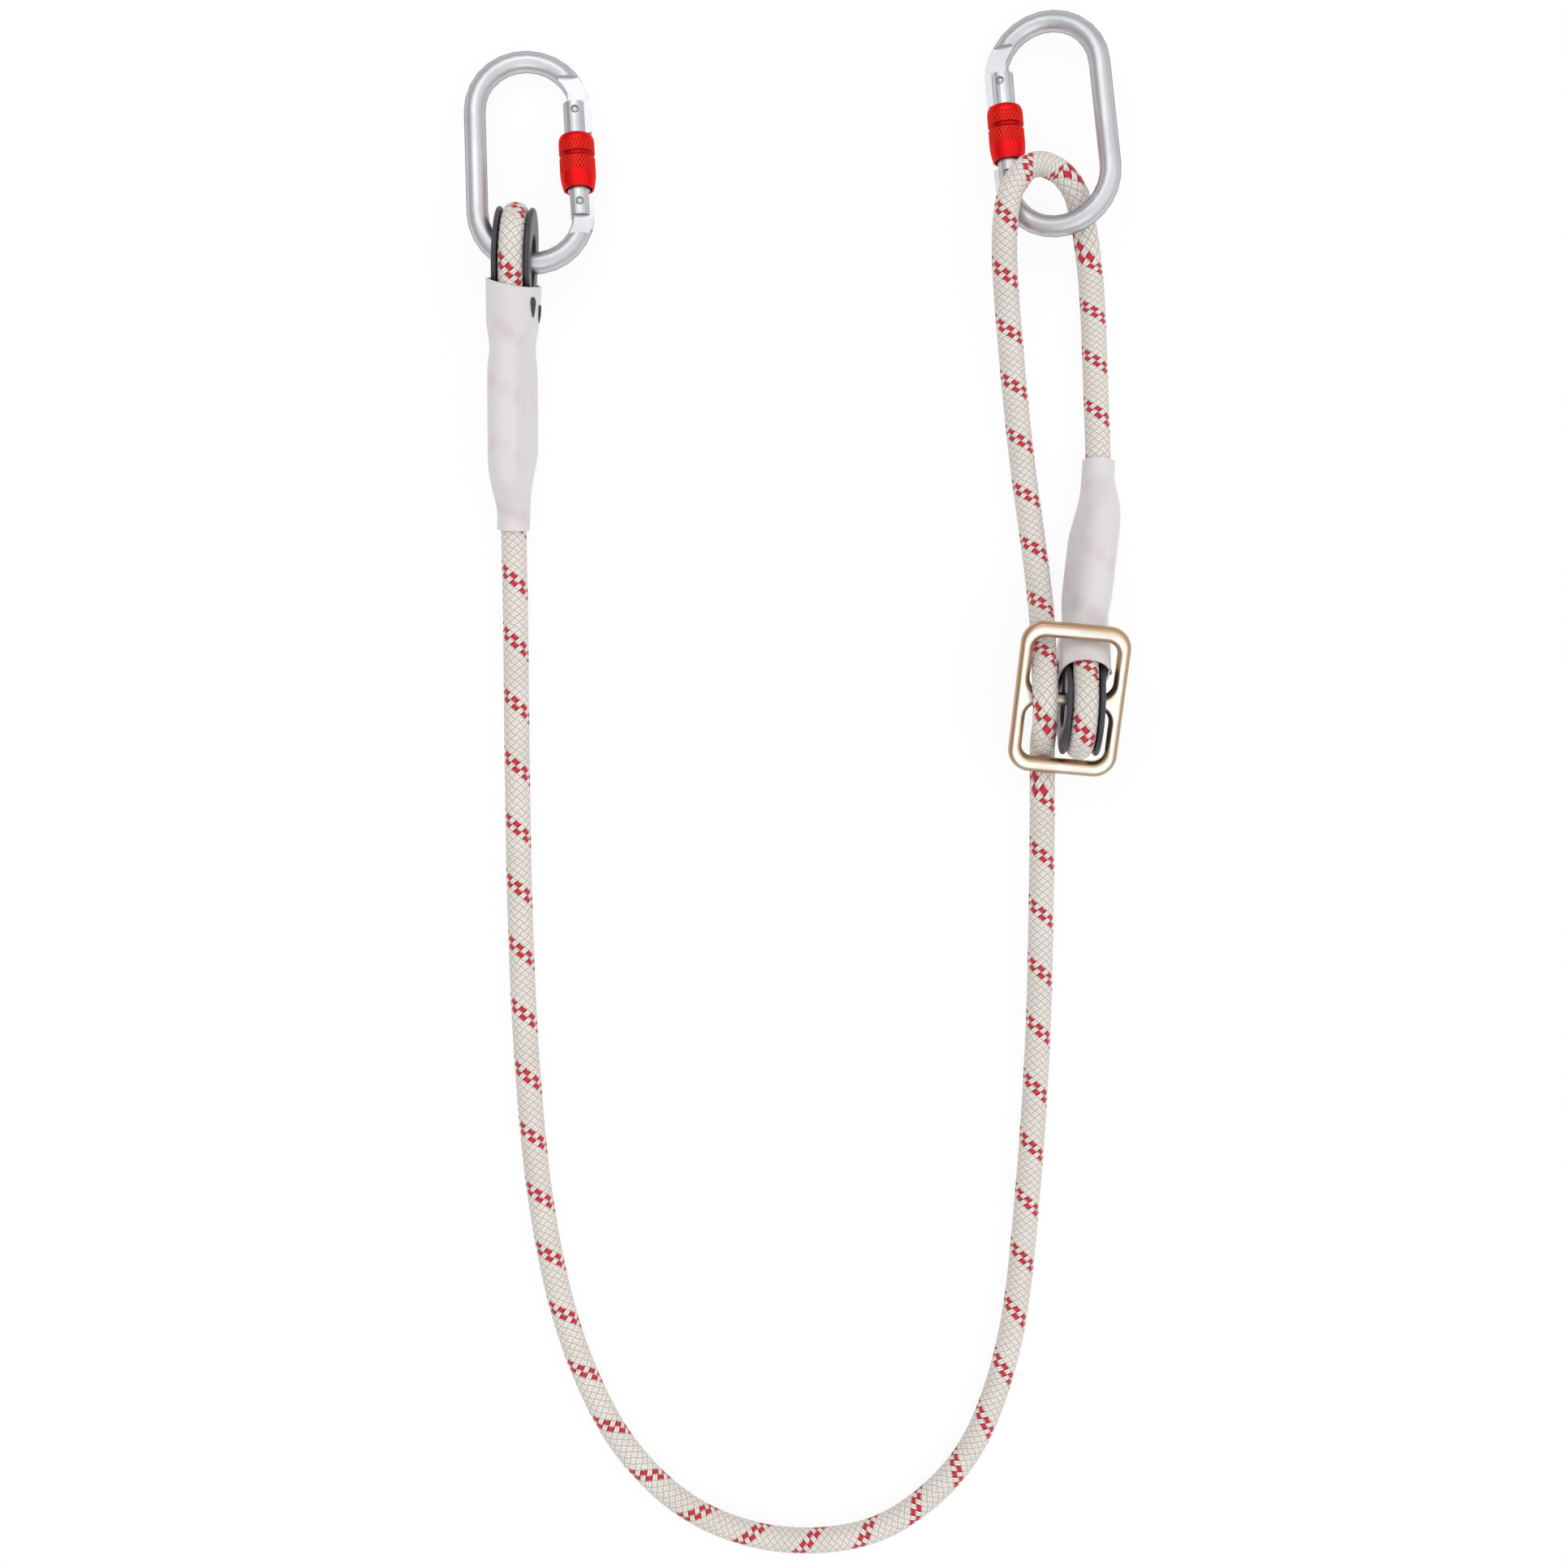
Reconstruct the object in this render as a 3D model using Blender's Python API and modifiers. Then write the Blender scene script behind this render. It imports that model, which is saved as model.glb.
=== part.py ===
# Tree climbing lanyard laid out flat: a kernmantle rope with a thimble eye at each end, two steel
# oval screw-gate carabiners, and a forged two-window ring on the rope as the length adjuster.
# The surface it lies on is z = 0, and every size is in metres.
import math

import bmesh
import bpy
from mathutils import Matrix, Vector
from mathutils.geometry import interpolate_bezier

MM = 0.001

# Shared clearance between pieces that touch, and how far a cutter passes its work
GAP = 0.35 * MM
OVERRUN = 2 * MM
WELD_SHARE = 0.01

# Carabiner, in its own plane: X towards the gate, Y towards the nose, Z through the thickness
ROD_D = 10 * MM
CLIP_LENGTH = 108 * MM
CLIP_WIDTH = 59 * MM
TONGUE_T = 5.2 * MM
FLAT_STEP = 0.1 * MM
TONGUE_SETBACK = 0.2 * MM
TONGUE_ROOT = 1.2 * MM
GATE_D = 10.4 * MM
GATE_INSET = 1.9 * MM
GATE_LEAN = 1.2
HINGE_RISE = 3.9 * MM
LATCH_DROP = 0.6 * MM
GATE_TAIL = 6 * MM
GATE_HEAD = 4.3 * MM
END_GAP = 0.7 * MM
NOSE_FLAT = 11.5 * MM
HINGE_FLAT = 8.4 * MM
NOSE_REACH = 10.7 * MM
NOSE_CORNER = 1.5 * MM
HOOK_BITE = 2.1 * MM
HINGE_EYE_R = 4 * MM
HINGE_LIP_RISE = 3.6 * MM
PIN_D = 3.5 * MM
PIN_CROWN = 0.3 * MM
GATE_WALL = 1.9 * MM
SLOT_TOP = 6.3 * MM
BORE_START = 4 * MM
BORE_WALL_SHARE = 0.184
PLUNGER_SHARE = 0.181
SPRING_PITCH = 1.88 * MM
SPRING_WIRE = 0.9 * MM
ROOT_SHARE = 0.6
CROWN_FLAT_SHARE = 0.6

# Screw sleeve on the gate
LOCK_D = 16.6 * MM
LOCK_FOOT_RISE = 6.91 * MM
LOCK_GAP = 0.9 * MM
LOCK_CROWN = 1.6 * MM
LOCK_GROOVE = 0.9 * MM
LOCK_TAPER = 1.2 * MM
LOCK_RIM = 0.9 * MM

# Places down the screw sleeve, as shares of its length
LOCK_SHOULDER_SHARE = 0.1385
LOCK_GROOVE_SHARE = 0.3923
LOCK_GROOVE_W_SHARE = 0.0923
LOCK_BAND_SHARE = 0.7154
LOCK_SKIRT_SHARE = 0.1538

# Rope, and the eye round each thimble: X across the eye, Y towards its crown, Z in its plane
ROPE_D = 12 * MM
EYE_HOLE_W = 18 * MM
EYE_HOLE_L = 36 * MM
THIMBLE_WALL = 2 * MM
FLANGE_T = 2.3 * MM
FLANGE_SETBACK = 2.4 * MM
FLANGE_SPLAY = 1.1 * MM
TIP_GAP = 1.2 * MM
TIP_HEIGHT_SHARE = 0.45
STRAND_GAP = 0.7 * MM
EYE_TILT = 10
STACK_TWIST = 23

# Clear sleeve over each throat, and the thread seizing under it
COVER_WALL = 1 * MM
COVER_SLACK = 1.5 * MM
COVER_THROAT_SLACK = 0.5 * MM
COVER_END_SLACK = 0.6 * MM
COVER_MOUTH = 19 * MM
FLANK_SHARE = 0.3
COVER_MOUTH_EASE = 12 * MM
COVER_MOUTH_LEAN = 9 * MM
COVER_LEAN_EASE = 22 * MM
COVER_SLACK_EASE = 24 * MM
TAIL_SHORTFALL = 38 * MM
EXIT_LENGTH = 33 * MM
JOIN_DEPTH = 3 * MM
SEIZING_T = 0.5 * MM
SEIZING_SLACK = 0.55 * MM
SEIZING_LENGTH = 20 * MM
SEIZING_AT = 47 * MM
BEND_START = 36 * MM
BEND_LENGTH = 30 * MM

# Adjuster ring, flat in its own plane
RING_LENGTH = 72 * MM
RING_WIDTH = 50.2 * MM
RING_T = 6.2 * MM
RING_SIDE = 5.9 * MM
RING_END = 7.2 * MM
RING_CROSSBAR = 5.8 * MM
RING_CORNER = 10.5 * MM
RING_WINDOW_CORNER = 5.6 * MM
RING_CROTCH = 6.5 * MM
RING_ROUND = 2.7 * MM

# Where each assembly lies: x, y and height of its origin, then its turns in degrees. A carabiner
# is placed by the spot on its rod that bears on the rope or the thimble
LEFT_CLIP_HANGS_AT = (-126.725 * MM, 59.692 * MM, 20.9258 * MM)
LEFT_CLIP_TURN = (2.5, -8.2, 6)
RIGHT_CLIP_HANGS_AT = (121.6194 * MM, 100.2752 * MM, 19.9858 * MM)
RIGHT_CLIP_TURN = (5, -7, -19)
LEFT_EYE_AT = (-128 * MM, 63 * MM)
LEFT_EYE_TURN = -3
LEFT_COVER_LENGTH = 107 * MM
LEFT_DRIFT = 4 * MM
RIGHT_EYE_AT = (131.8 * MM, -146.2 * MM)
RIGHT_EYE_TURN = 177
RIGHT_COVER_LENGTH = 98 * MM
RIGHT_DRIFT = -4 * MM
RING_AT = (125.8 * MM, -141.7 * MM, 27.2 * MM)
RING_TURN = (-5, 20)
LEFT_HANG_ANGLE = -15

# Route of the free rope from the left sleeve to the right one, in millimetres
ROUTE = [
    (-130.4, -59.7, 8), (-129.7, -101.4, 6.1), (-128.9, -171.9, 6.1), (-127.5, -242.3, 6.1),
    (-124.1, -312.7, 6.1), (-117.6, -376.2, 6.1), (-105.5, -432.1, 6.1), (-86.7, -476.6, 6.1),
    (-65.2, -504.4, 6.1), (-40.3, -522.3, 6.1), (-8.9, -531.9, 6.1), (24, -531.4, 6.1),
    (48.7, -522.5, 6.1), (73.9, -501.3, 6.1), (89.6, -475, 6.1), (101.8, -432.8, 6.1),
    (109, -369.4, 6.1), (113.6, -299.1, 6.1), (115.4, -226.4, 6.1), (115.8, -171.5, 6.3),
    (115.4, -164, 9.3), (114.9, -158.8, 18.5), (114.6, -153.8, 29), (114.2, -147.8, 35.1),
    (114, -141.7, 36.9), (114, -131.3, 33.5), (114.1, -101.9, 18.4), (112.2, -75.3, 8.3),
    (106.3, -29.6, 6.1), (101.2, 18.4, 8.4), (96.8, 64.7, 20.8), (98.5, 88.4, 25.1),
    (104.5, 100, 24.5), (109.7, 103.7, 23.4), (115.9, 104.1, 21.8), (125, 99.4, 18.7),
    (131.7, 88.8, 14.8), (137.9, 54.8, 8.7), (140.7, 2.2, 6.4), (141.7, -33, 8),
]
ROUTE_STEP = 25 * MM
ROUTE_TURN = 16


def turned_to(turns):
    yaw, pitch, roll = (math.radians(t) for t in turns)
    return (
        Matrix.Rotation(yaw, 4, "Z") @ Matrix.Rotation(pitch, 4, "X") @ Matrix.Rotation(roll, 4, "Y")
    )


def smooth_step(share):
    share = min(max(share, 0), 1)
    return share * share * (3 - 2 * share)


def arc(centre, radius, start, end, count):
    turns = [math.radians(start + (end - start) * i / count) for i in range(count + 1)]
    return [(centre[0] + radius * math.cos(t), centre[1] + radius * math.sin(t)) for t in turns]


def new_collection(name):
    made = bpy.data.collections.new(name)
    bpy.context.scene.collection.children.link(made)
    return made


def new_material(name, colour, roughness, metallic):
    made = bpy.data.materials.new(name)
    made.use_nodes = True
    shader = made.node_tree.nodes["Principled BSDF"]
    shader.inputs["Base Color"].default_value = (*colour, 1)
    shader.inputs["Roughness"].default_value = roughness
    shader.inputs["Metallic"].default_value = metallic
    made.diffuse_color = (*colour, 1)
    return made


def clear_scene():
    for old in list(bpy.context.scene.objects):
        bpy.data.objects.remove(old, do_unlink=True)


def add(name, data, parent=None, stuff=None, group=None):
    made = bpy.data.objects.new(name, data)
    (group or PARTS).objects.link(made)
    made.parent = parent
    if stuff:
        made.data.materials.append(stuff)
    return made


def empty(name, matrix, parent=None):
    made = add(name, None, parent, None, GUIDES)
    made.empty_display_size = ROD_D
    made.matrix_local = matrix
    made.hide_render = True
    return made


def mesh_from(name, work):
    mesh = bpy.data.meshes.new(name)
    work.to_mesh(mesh)
    work.free()
    return mesh


def round_shade(obj, angle=35):
    obj.data.shade_smooth()
    obj.data.set_sharp_from_angle(angle=math.radians(angle))


def box(name, low, high, parent):
    low, high = Vector(low), Vector(high)
    work = bmesh.new()
    bmesh.ops.create_cube(work, size=1, matrix=Matrix.LocRotScale((low + high) / 2, None, high - low))
    return as_cutter(add(name, mesh_from(name, work), parent, None, GUIDES))


def cylinder(name, radius, low, high, axis, sides, parent, stuff=None):
    turn = {"Y": Matrix.Rotation(math.radians(-90), 4, "X"), "Z": Matrix()}[axis]
    middle = Vector((low[0], low[1], 0)) if axis == "Z" else Vector((low[0], 0, low[1]))
    start, end = high
    along = Vector((0, 0, 1)) if axis == "Z" else Vector((0, 1, 0))
    work = bmesh.new()
    bmesh.ops.create_cone(
        work, cap_ends=True, segments=sides, radius1=radius, radius2=radius, depth=end - start,
        matrix=Matrix.Translation(middle + along * (start + end) / 2) @ turn,
    )
    made = add(name, mesh_from(name, work), parent, stuff, None if stuff else GUIDES)
    return made if stuff else as_cutter(made)


def as_cutter(obj):
    obj.hide_render = True
    obj.display_type = "WIRE"
    return obj


def boolean(obj, tools, operation):
    for tool in tools:
        step = obj.modifiers.new(tool.name, "BOOLEAN")
        step.operation = operation
        step.solver = "EXACT"
        step.object = as_cutter(tool)
    return obj


def curve_object(name, splines, parent, dimensions="3D"):
    curve = bpy.data.curves.new(name, "CURVE")
    curve.dimensions = dimensions
    for points, cyclic in splines:
        spline = curve.splines.new("POLY")
        spline.points.add(len(points) - 1)
        for place, point in zip(spline.points, points):
            place.co = (*Vector(point).to_3d(), 1)
        spline.use_cyclic_u = cyclic
    return add(name, curve, parent, None, GUIDES)


def meshed(obj, stuff=None, group=None):
    # The curve's caps are welded to its sides, and the curve is removed
    bpy.context.view_layer.update()
    graph = bpy.context.evaluated_depsgraph_get()
    mesh = bpy.data.meshes.new_from_object(obj.evaluated_get(graph))
    work = bmesh.new()
    work.from_mesh(mesh)
    bmesh.ops.remove_doubles(work, verts=work.verts, dist=GAP * WELD_SHARE)
    work.to_mesh(mesh)
    work.free()
    name, parent, matrix = obj.name, obj.parent, obj.matrix_world.copy()
    bpy.data.objects.remove(obj, do_unlink=True)
    made = add(name, mesh, parent, stuff, group)
    made.matrix_world = matrix
    return made


def tube(name, points, radius, parent, stuff, resolution=2):
    made = curve_object(name, [(points, False)], parent)
    made.data.bevel_depth = radius
    made.data.bevel_resolution = resolution
    made.data.use_fill_caps = True
    return meshed(made, stuff, PARTS)


def plate(name, outlines, thickness, parent):
    made = curve_object(name, [(outline, True) for outline in outlines], parent, "2D")
    made.data.fill_mode = "BOTH"
    made.data.extrude = thickness / 2
    return meshed(made, None, GUIDES)


def turned(name, profile, segments, parent, stuff, closed=False, turn=None):
    # The profile lies at +X of the local Z axis and runs down its outer side
    mesh = bpy.data.meshes.new(name)
    count = len(profile)
    edges = [(i, i + 1) for i in range(count - 1)] + ([(count - 1, 0)] if closed else [])
    mesh.from_pydata([(r, 0, z) for r, z in profile], edges, [])
    made = add(name, mesh, parent, stuff)
    made.matrix_local = turn or Matrix()
    spin = made.modifiers.new("spin", "SCREW")
    spin.steps = spin.render_steps = segments
    spin.use_merge_vertices = True
    spin.merge_threshold = GAP * WELD_SHARE
    spin.use_smooth_shade = True
    return made


def loft(name, rings, parent, stuff, closed=False):
    # Joins rings of equal count with quads, and caps the two ends of an open loft
    work = bmesh.new()
    loops = [[work.verts.new(point) for point in ring] for ring in rings]
    pairs = list(zip(loops, loops[1:])) + ([(loops[-1], loops[0])] if closed else [])
    for one, two in pairs:
        for i in range(len(one)):
            j = (i + 1) % len(one)
            work.faces.new((one[i], one[j], two[j], two[i]))
    if not closed:
        work.faces.new(loops[0])
        work.faces.new(loops[-1])
    bmesh.ops.recalc_face_normals(work, faces=work.faces)
    made = add(name, mesh_from(name, work), parent, stuff)
    round_shade(made)
    return made


def smooth_route(points):
    # A smooth curve through the points: handles follow the neighbours' chord
    places = [Vector(p) * MM for p in points]
    tangents = []
    for i, place in enumerate(places):
        before, after = places[max(i - 1, 0)], places[min(i + 1, len(places) - 1)]
        reach = (after - place).length + (place - before).length
        tangents.append((after - before) / reach)
    fine = []
    for i in range(len(places) - 1):
        third = (places[i + 1] - places[i]).length / 3
        start, end = places[i] + tangents[i] * third, places[i + 1] - tangents[i + 1] * third
        fine += interpolate_bezier(places[i], start, end, places[i + 1], 24)[:-1]
    for place in fine:
        place.z = max(place.z, ROPE_D / 2)
    return fine + [places[-1]]


def thinned(fine, step, turn):
    # Keeps a point every step along straights, and oftener where the curve turns
    kept, spent = [fine[0]], 0
    for i in range(1, len(fine) - 1):
        run, ahead = fine[i] - fine[i - 1], fine[i + 1] - fine[i]
        spent += run.length / step + math.degrees(run.angle(ahead, 0)) / turn
        if spent >= 1:
            kept.append(fine[i])
            spent = 0
    return kept + [fine[-1]]


# Places worked out from the carabiner's sizes
ROD_R = ROD_D / 2
ARC_R = (CLIP_WIDTH - ROD_D) / 2
ARC_Y = CLIP_LENGTH / 2 - ROD_R - ARC_R
GATE_R = GATE_D / 2
PIN_R = PIN_D / 2
HINGE = Vector((ARC_R - GATE_INSET, HINGE_RISE - ARC_Y, 0))
LATCH_Y = ARC_Y - LATCH_DROP
GATE_SPAN = (LATCH_Y - HINGE.y) / math.cos(math.radians(GATE_LEAN))
LATCH_X = HINGE.x - GATE_SPAN * math.sin(math.radians(GATE_LEAN))
NOSE_END = LATCH_Y + GATE_HEAD + END_GAP
HINGE_END = HINGE.y - GATE_TAIL - END_GAP
LIP_X = ARC_R + ROD_R - TONGUE_SETBACK
SLOT_HALF = TONGUE_T / 2 + GAP
BORE_R = GATE_R - GATE_WALL
NOSE_CUT = GATE_SPAN - NOSE_REACH - END_GAP
BORE_END = NOSE_CUT * (1 - BORE_WALL_SHARE)
PLUNGER_L = NOSE_CUT * PLUNGER_SHARE
LOCK_TOP = GATE_SPAN - NOSE_REACH - LOCK_GAP
LOCK_LENGTH = LOCK_TOP - LOCK_FOOT_RISE


def arc_angle(height):
    return math.degrees(math.asin(height / ARC_R))


def rod_points():
    nose, hinge = arc_angle(NOSE_END - ARC_Y), arc_angle(HINGE_END + ARC_Y)
    over = arc((0, ARC_Y), ARC_R, nose, 180, 13)
    under = arc((0, -ARC_Y), ARC_R, 180, 360 + hinge, 14)
    return [(x, y, 0) for x, y in over + under]


def nose_outline():
    # A hook plate: the latch pin enters the notch from inside and bears on the hook under it
    centre = (0, ARC_Y)
    root = arc_angle(NOSE_END - ARC_Y) + arc_angle(NOSE_FLAT) * ROOT_SHARE
    outer = arc(centre, LIP_X, 0, root, 4)
    inner = arc(centre, ARC_R - ROD_R + TONGUE_ROOT, root, root - 1, 1)[:1]
    notch = PIN_R + GAP
    tip = LATCH_Y - NOSE_REACH
    back = LATCH_X - PIN_R - TONGUE_ROOT
    hook = LATCH_X - HOOK_BITE
    floor = arc((LATCH_X, LATCH_Y), notch, 90, -90, 6)
    corner = arc((LIP_X - NOSE_CORNER, tip + NOSE_CORNER), NOSE_CORNER, -90, 0, 3)
    return (
        outer + inner + [(back, LATCH_Y + notch + NOSE_CORNER), (back, LATCH_Y + notch)] + floor
        + [(hook, LATCH_Y - notch), (hook, tip + NOSE_CORNER), (hook + NOSE_CORNER, tip)] + corner
    )


def hinge_outline():
    # A tongue that the forked gate straddles, with a round crown for the plunger
    centre = (0, -ARC_Y)
    low = arc_angle(HINGE_END + ARC_Y) - arc_angle(HINGE_FLAT) * ROOT_SHARE
    lip = HINGE.y + HINGE_LIP_RISE
    outer = arc(centre, LIP_X, low, 0, 4)
    corner = arc((LIP_X - NOSE_CORNER, lip - NOSE_CORNER), NOSE_CORNER, 0, 90, 3)
    crown_start = math.degrees(math.asin(HINGE_LIP_RISE / HINGE_EYE_R))
    crown = arc(HINGE.xy, HINGE_EYE_R, crown_start, 180, 8)
    inner = arc(centre, ARC_R - ROD_R + TONGUE_ROOT, low / 2, low, 1)
    return outer + corner + crown + inner


def make_frame(side, plane, hang):
    made = tube(side + "_clip_frame", rod_points(), ROD_R, plane, STEEL, 6)
    made.data.transform(Matrix.Translation(-hang))
    made.matrix_local = Matrix.Translation(hang)
    nose = plate(side + "_nose_plate", [nose_outline()], TONGUE_T, plane)
    eye = arc(HINGE.xy, PIN_R + GAP / 2, 0, 360, 20)[:-1]
    tongue = plate(side + "_hinge_plate", [hinge_outline(), eye], TONGUE_T, plane)
    flat = TONGUE_T / 2 + FLAT_STEP
    inner, outer = ARC_R - ROD_D, ARC_R + ROD_D
    flats = []
    for end, run in ((NOSE_END, NOSE_FLAT), (HINGE_END, -HINGE_FLAT)):
        low, high = sorted((end + run, end - math.copysign(OVERRUN, run)))
        for face in (-1, 1):
            near, far = sorted((face * flat, face * ROD_D))
            name = f"{side}_flat_{len(flats)}"
            flats.append(box(name, (inner, low, near), (outer, high, far), plane))
    boolean(made, flats, "DIFFERENCE")
    boolean(made, [nose, tongue], "UNION")
    return made


def make_gate(side, pivot):
    top = GATE_SPAN + GATE_HEAD
    made = cylinder(side + "_gate", GATE_R, (0, 0), (-GATE_TAIL, top), "Y", 28, pivot, STEEL)
    reach = GATE_R + OVERRUN
    tools = [
        box(side + "_fork_cut", (-reach, -reach - GATE_TAIL, -SLOT_HALF), (reach, SLOT_TOP, SLOT_HALF), pivot),
        box(side + "_nose_cut", (-BORE_R, NOSE_CUT, -SLOT_HALF), (reach, top + OVERRUN, SLOT_HALF), pivot),
        cylinder(side + "_bore_cut", BORE_R, (0, 0), (BORE_START, BORE_END), "Y", 20, pivot),
    ]
    for name, at in (("hinge", 0), ("latch", GATE_SPAN)):
        hole = cylinder(f"{side}_{name}_hole", PIN_R + GAP / 2, (0, at), (-reach, reach), "Z", 20, pivot)
        tools.append(hole)
    boolean(made, tools, "DIFFERENCE")
    return made


def make_pin(name, at, pivot):
    tip, rim = GATE_R + PIN_CROWN, GATE_R - PIN_CROWN
    shoulder = PIN_R * CROWN_FLAT_SHARE
    profile = [(0, tip), (shoulder, tip - PIN_CROWN / 3), (PIN_R, rim), (PIN_R, -rim)]
    profile += [(shoulder, PIN_CROWN / 3 - tip), (0, -tip)]
    return turned(name, profile, 20, pivot, STEEL, False, Matrix.Translation((0, at, 0)))


def make_plunger(side, pivot):
    # It rides on the tongue's crown and carries the spring
    radius = BORE_R - GAP
    low = HINGE_EYE_R + GAP
    high = low + PLUNGER_L
    profile = [(0, high), (radius, high), (radius, low), (0, low)]
    turn = Matrix.Rotation(math.radians(-90), 4, "X")
    return turned(side + "_plunger", profile, 20, pivot, BRASS, False, turn)


def make_spring(side, pivot):
    wire = SPRING_WIRE / 2
    radius = BORE_R - GAP - wire
    low = HINGE_EYE_R + PLUNGER_L + 2 * GAP + wire
    high = BORE_END - GAP - wire
    per_turn = 8
    count = max(round((high - low) / SPRING_PITCH), 1) * per_turn
    points = []
    for i in range(count + 1):
        turn = 2 * math.pi * i / per_turn
        points.append((radius * math.cos(turn), low + (high - low) * i / count, radius * math.sin(turn)))
    return tube(side + "_gate_spring", points, wire, pivot, SPRING_STEEL, 1)


def make_lock(side, pivot):
    # The screw sleeve: two knurled bands, a V groove, a plain foot and an open skirt
    outer, bore = LOCK_D / 2, GATE_R + GAP
    top, foot = LOCK_TOP, LOCK_TOP - LOCK_LENGTH
    skirt = outer - LOCK_TAPER - LOCK_RIM
    shoulder, depth = LOCK_LENGTH * LOCK_SHOULDER_SHARE, LOCK_LENGTH * LOCK_SKIRT_SHARE
    groove = top - LOCK_LENGTH * LOCK_GROOVE_SHARE
    half = LOCK_LENGTH * LOCK_GROOVE_W_SHARE / 2
    profile = [(bore, top)]
    for i in range(5):
        turn = math.pi * i / 8
        rise = LOCK_CROWN * (1 - math.sin(turn))
        profile.append((outer - rise, top - shoulder * (1 - math.cos(turn))))
    profile += [(outer, groove + half), (outer - LOCK_GROOVE, groove), (outer, groove - half)]
    profile += [(outer, top - LOCK_LENGTH * LOCK_BAND_SHARE), (outer - LOCK_TAPER, foot), (skirt, foot)]
    profile += [(skirt, foot + depth), (bore, foot + depth + skirt - bore)]
    turn = Matrix.Rotation(math.radians(-90), 4, "X")
    return turned(side + "_screw_sleeve", profile, 32, pivot, RED_ALUMINIUM, True, turn)


def make_clip(side, hangs_at, turns, flipped, hang):
    flip = Matrix.Rotation(math.pi if flipped else 0, 4, "Y")
    lie = Matrix.Translation(hangs_at) @ turned_to(turns) @ flip @ Matrix.Translation(-hang)
    plane = empty(side + "_clip_plane", lie)
    lean = Matrix.Rotation(math.radians(GATE_LEAN), 4, "Z")
    pivot = empty(side + "_gate_pivot", Matrix.Translation(HINGE) @ lean, plane)
    make_frame(side, plane, hang)
    make_gate(side, pivot)
    make_pin(side + "_hinge_pin", 0, pivot)
    make_pin(side + "_latch_pin", GATE_SPAN, pivot)
    make_plunger(side, pivot)
    make_spring(side, pivot)
    make_lock(side, pivot)


# Places worked out from the eye's sizes
ROPE_R = ROPE_D / 2
HOLE_R = EYE_HOLE_W / 2
THROAT = EYE_HOLE_L - HOLE_R
STRAND_OUT = THIMBLE_WALL + GAP + ROPE_R
EYE_R = HOLE_R + STRAND_OUT + ROPE_R
TIP_AWAY = math.hypot(THROAT, TIP_GAP / 2)
LEG_ANGLE = math.asin(HOLE_R / TIP_AWAY) - math.atan2(TIP_GAP / 2, THROAT)
STRAND_HALF = ROPE_R + STRAND_GAP / 2
LEG_NORMAL = Vector((-math.sin(LEG_ANGLE), math.cos(LEG_ANGLE)))
LEG_END = Vector((-THROAT, TIP_GAP / 2)) + LEG_NORMAL * STRAND_OUT
MERGE = 2 * (LEG_END.y - STRAND_HALF) / math.tan(LEG_ANGLE)


def eye_stations(leg_count, arc_count):
    # Places on the hole's wall as (y, z), with the normal there, from the upper tip to the lower
    tip, start = Vector((-THROAT, TIP_GAP / 2)), LEG_NORMAL * HOLE_R
    leg = [(tip.lerp(start, i / leg_count), LEG_NORMAL, i / leg_count) for i in range(leg_count)]
    first, last = math.pi / 2 + LEG_ANGLE, -math.pi / 2 - LEG_ANGLE
    bend = []
    for i in range(arc_count + 1):
        turn = first + (last - first) * i / arc_count
        normal = Vector((math.cos(turn), math.sin(turn)))
        bend.append((normal * HOLE_R, normal, 1))
    mirrored = [(Vector((p.x, -p.y)), Vector((n.x, -n.y)), s) for p, n, s in reversed(leg)]
    return leg + bend + mirrored


def thimble_section(share):
    # A channel open outwards: (height over the hole's wall, place across), tapering to the tips
    height = TIP_HEIGHT_SHARE + (1 - TIP_HEIGHT_SHARE) * smooth_step(share)
    splay = FLANGE_SPLAY * (1 - smooth_step(share))
    half, wide = ROPE_R + GAP, ROPE_R + GAP + FLANGE_T
    rim = STRAND_OUT + ROPE_R - FLANGE_SETBACK
    soft = FLANGE_T / 3
    right = [(0, wide - soft), (soft, wide), (rim - soft, wide + splay), (rim, wide + splay - soft)]
    right += [(rim, half + splay + soft / 2), (rim - soft, half + splay), (STRAND_OUT, half)]
    groove = [(STRAND_OUT - half * math.sin(t), half * math.cos(t)) for t in
              (math.pi * i / 8 for i in range(1, 8))]
    left = [(h, -w) for h, w in reversed(right)]
    return [(h * height, w) for h, w in right + groove + left]


def make_thimble(side, place):
    rings = []
    for point, normal, share in eye_stations(5, 14):
        ring = []
        for height, across in thimble_section(share):
            spot = point + normal * height
            ring.append((across, spot.x, spot.y))
        rings.append(ring)
    return loft(side + "_thimble", rings, place, BLACK_PLASTIC)


def cover_axis(down, end, drift):
    # The sleeve's middle line levels out past the throat, where the eye's own line slopes down
    rise = math.tan(math.radians(EYE_TILT))
    run = min(max(down - BEND_START, 0), BEND_LENGTH)
    bend = rise * run * run / (2 * BEND_LENGTH) + rise * max(down - BEND_START - BEND_LENGTH, 0)
    return Vector((drift * smooth_step((down - THROAT) / (end - THROAT)), -down, bend))


def strand_offset(down):
    # The two strands lean together down the legs, then close to their least spacing
    into = min((down + LEG_END.x) / MERGE, 1)
    half = STRAND_HALF + (LEG_END.y - STRAND_HALF) * (1 - into) ** 2
    if into < 0:
        half = LEG_END.y - (down + LEG_END.x) * math.tan(LEG_ANGLE)
    twist = math.radians(STACK_TWIST) * smooth_step((down - THROAT) / BEND_LENGTH)
    return half, Vector((-math.sin(twist), 0, math.cos(twist)))


def exit_share(down, end):
    # 0 beside the tail, 1 where the standing rope leaves the sleeve by itself
    return smooth_step((down - end + TAIL_SHORTFALL) / EXIT_LENGTH)


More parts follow.
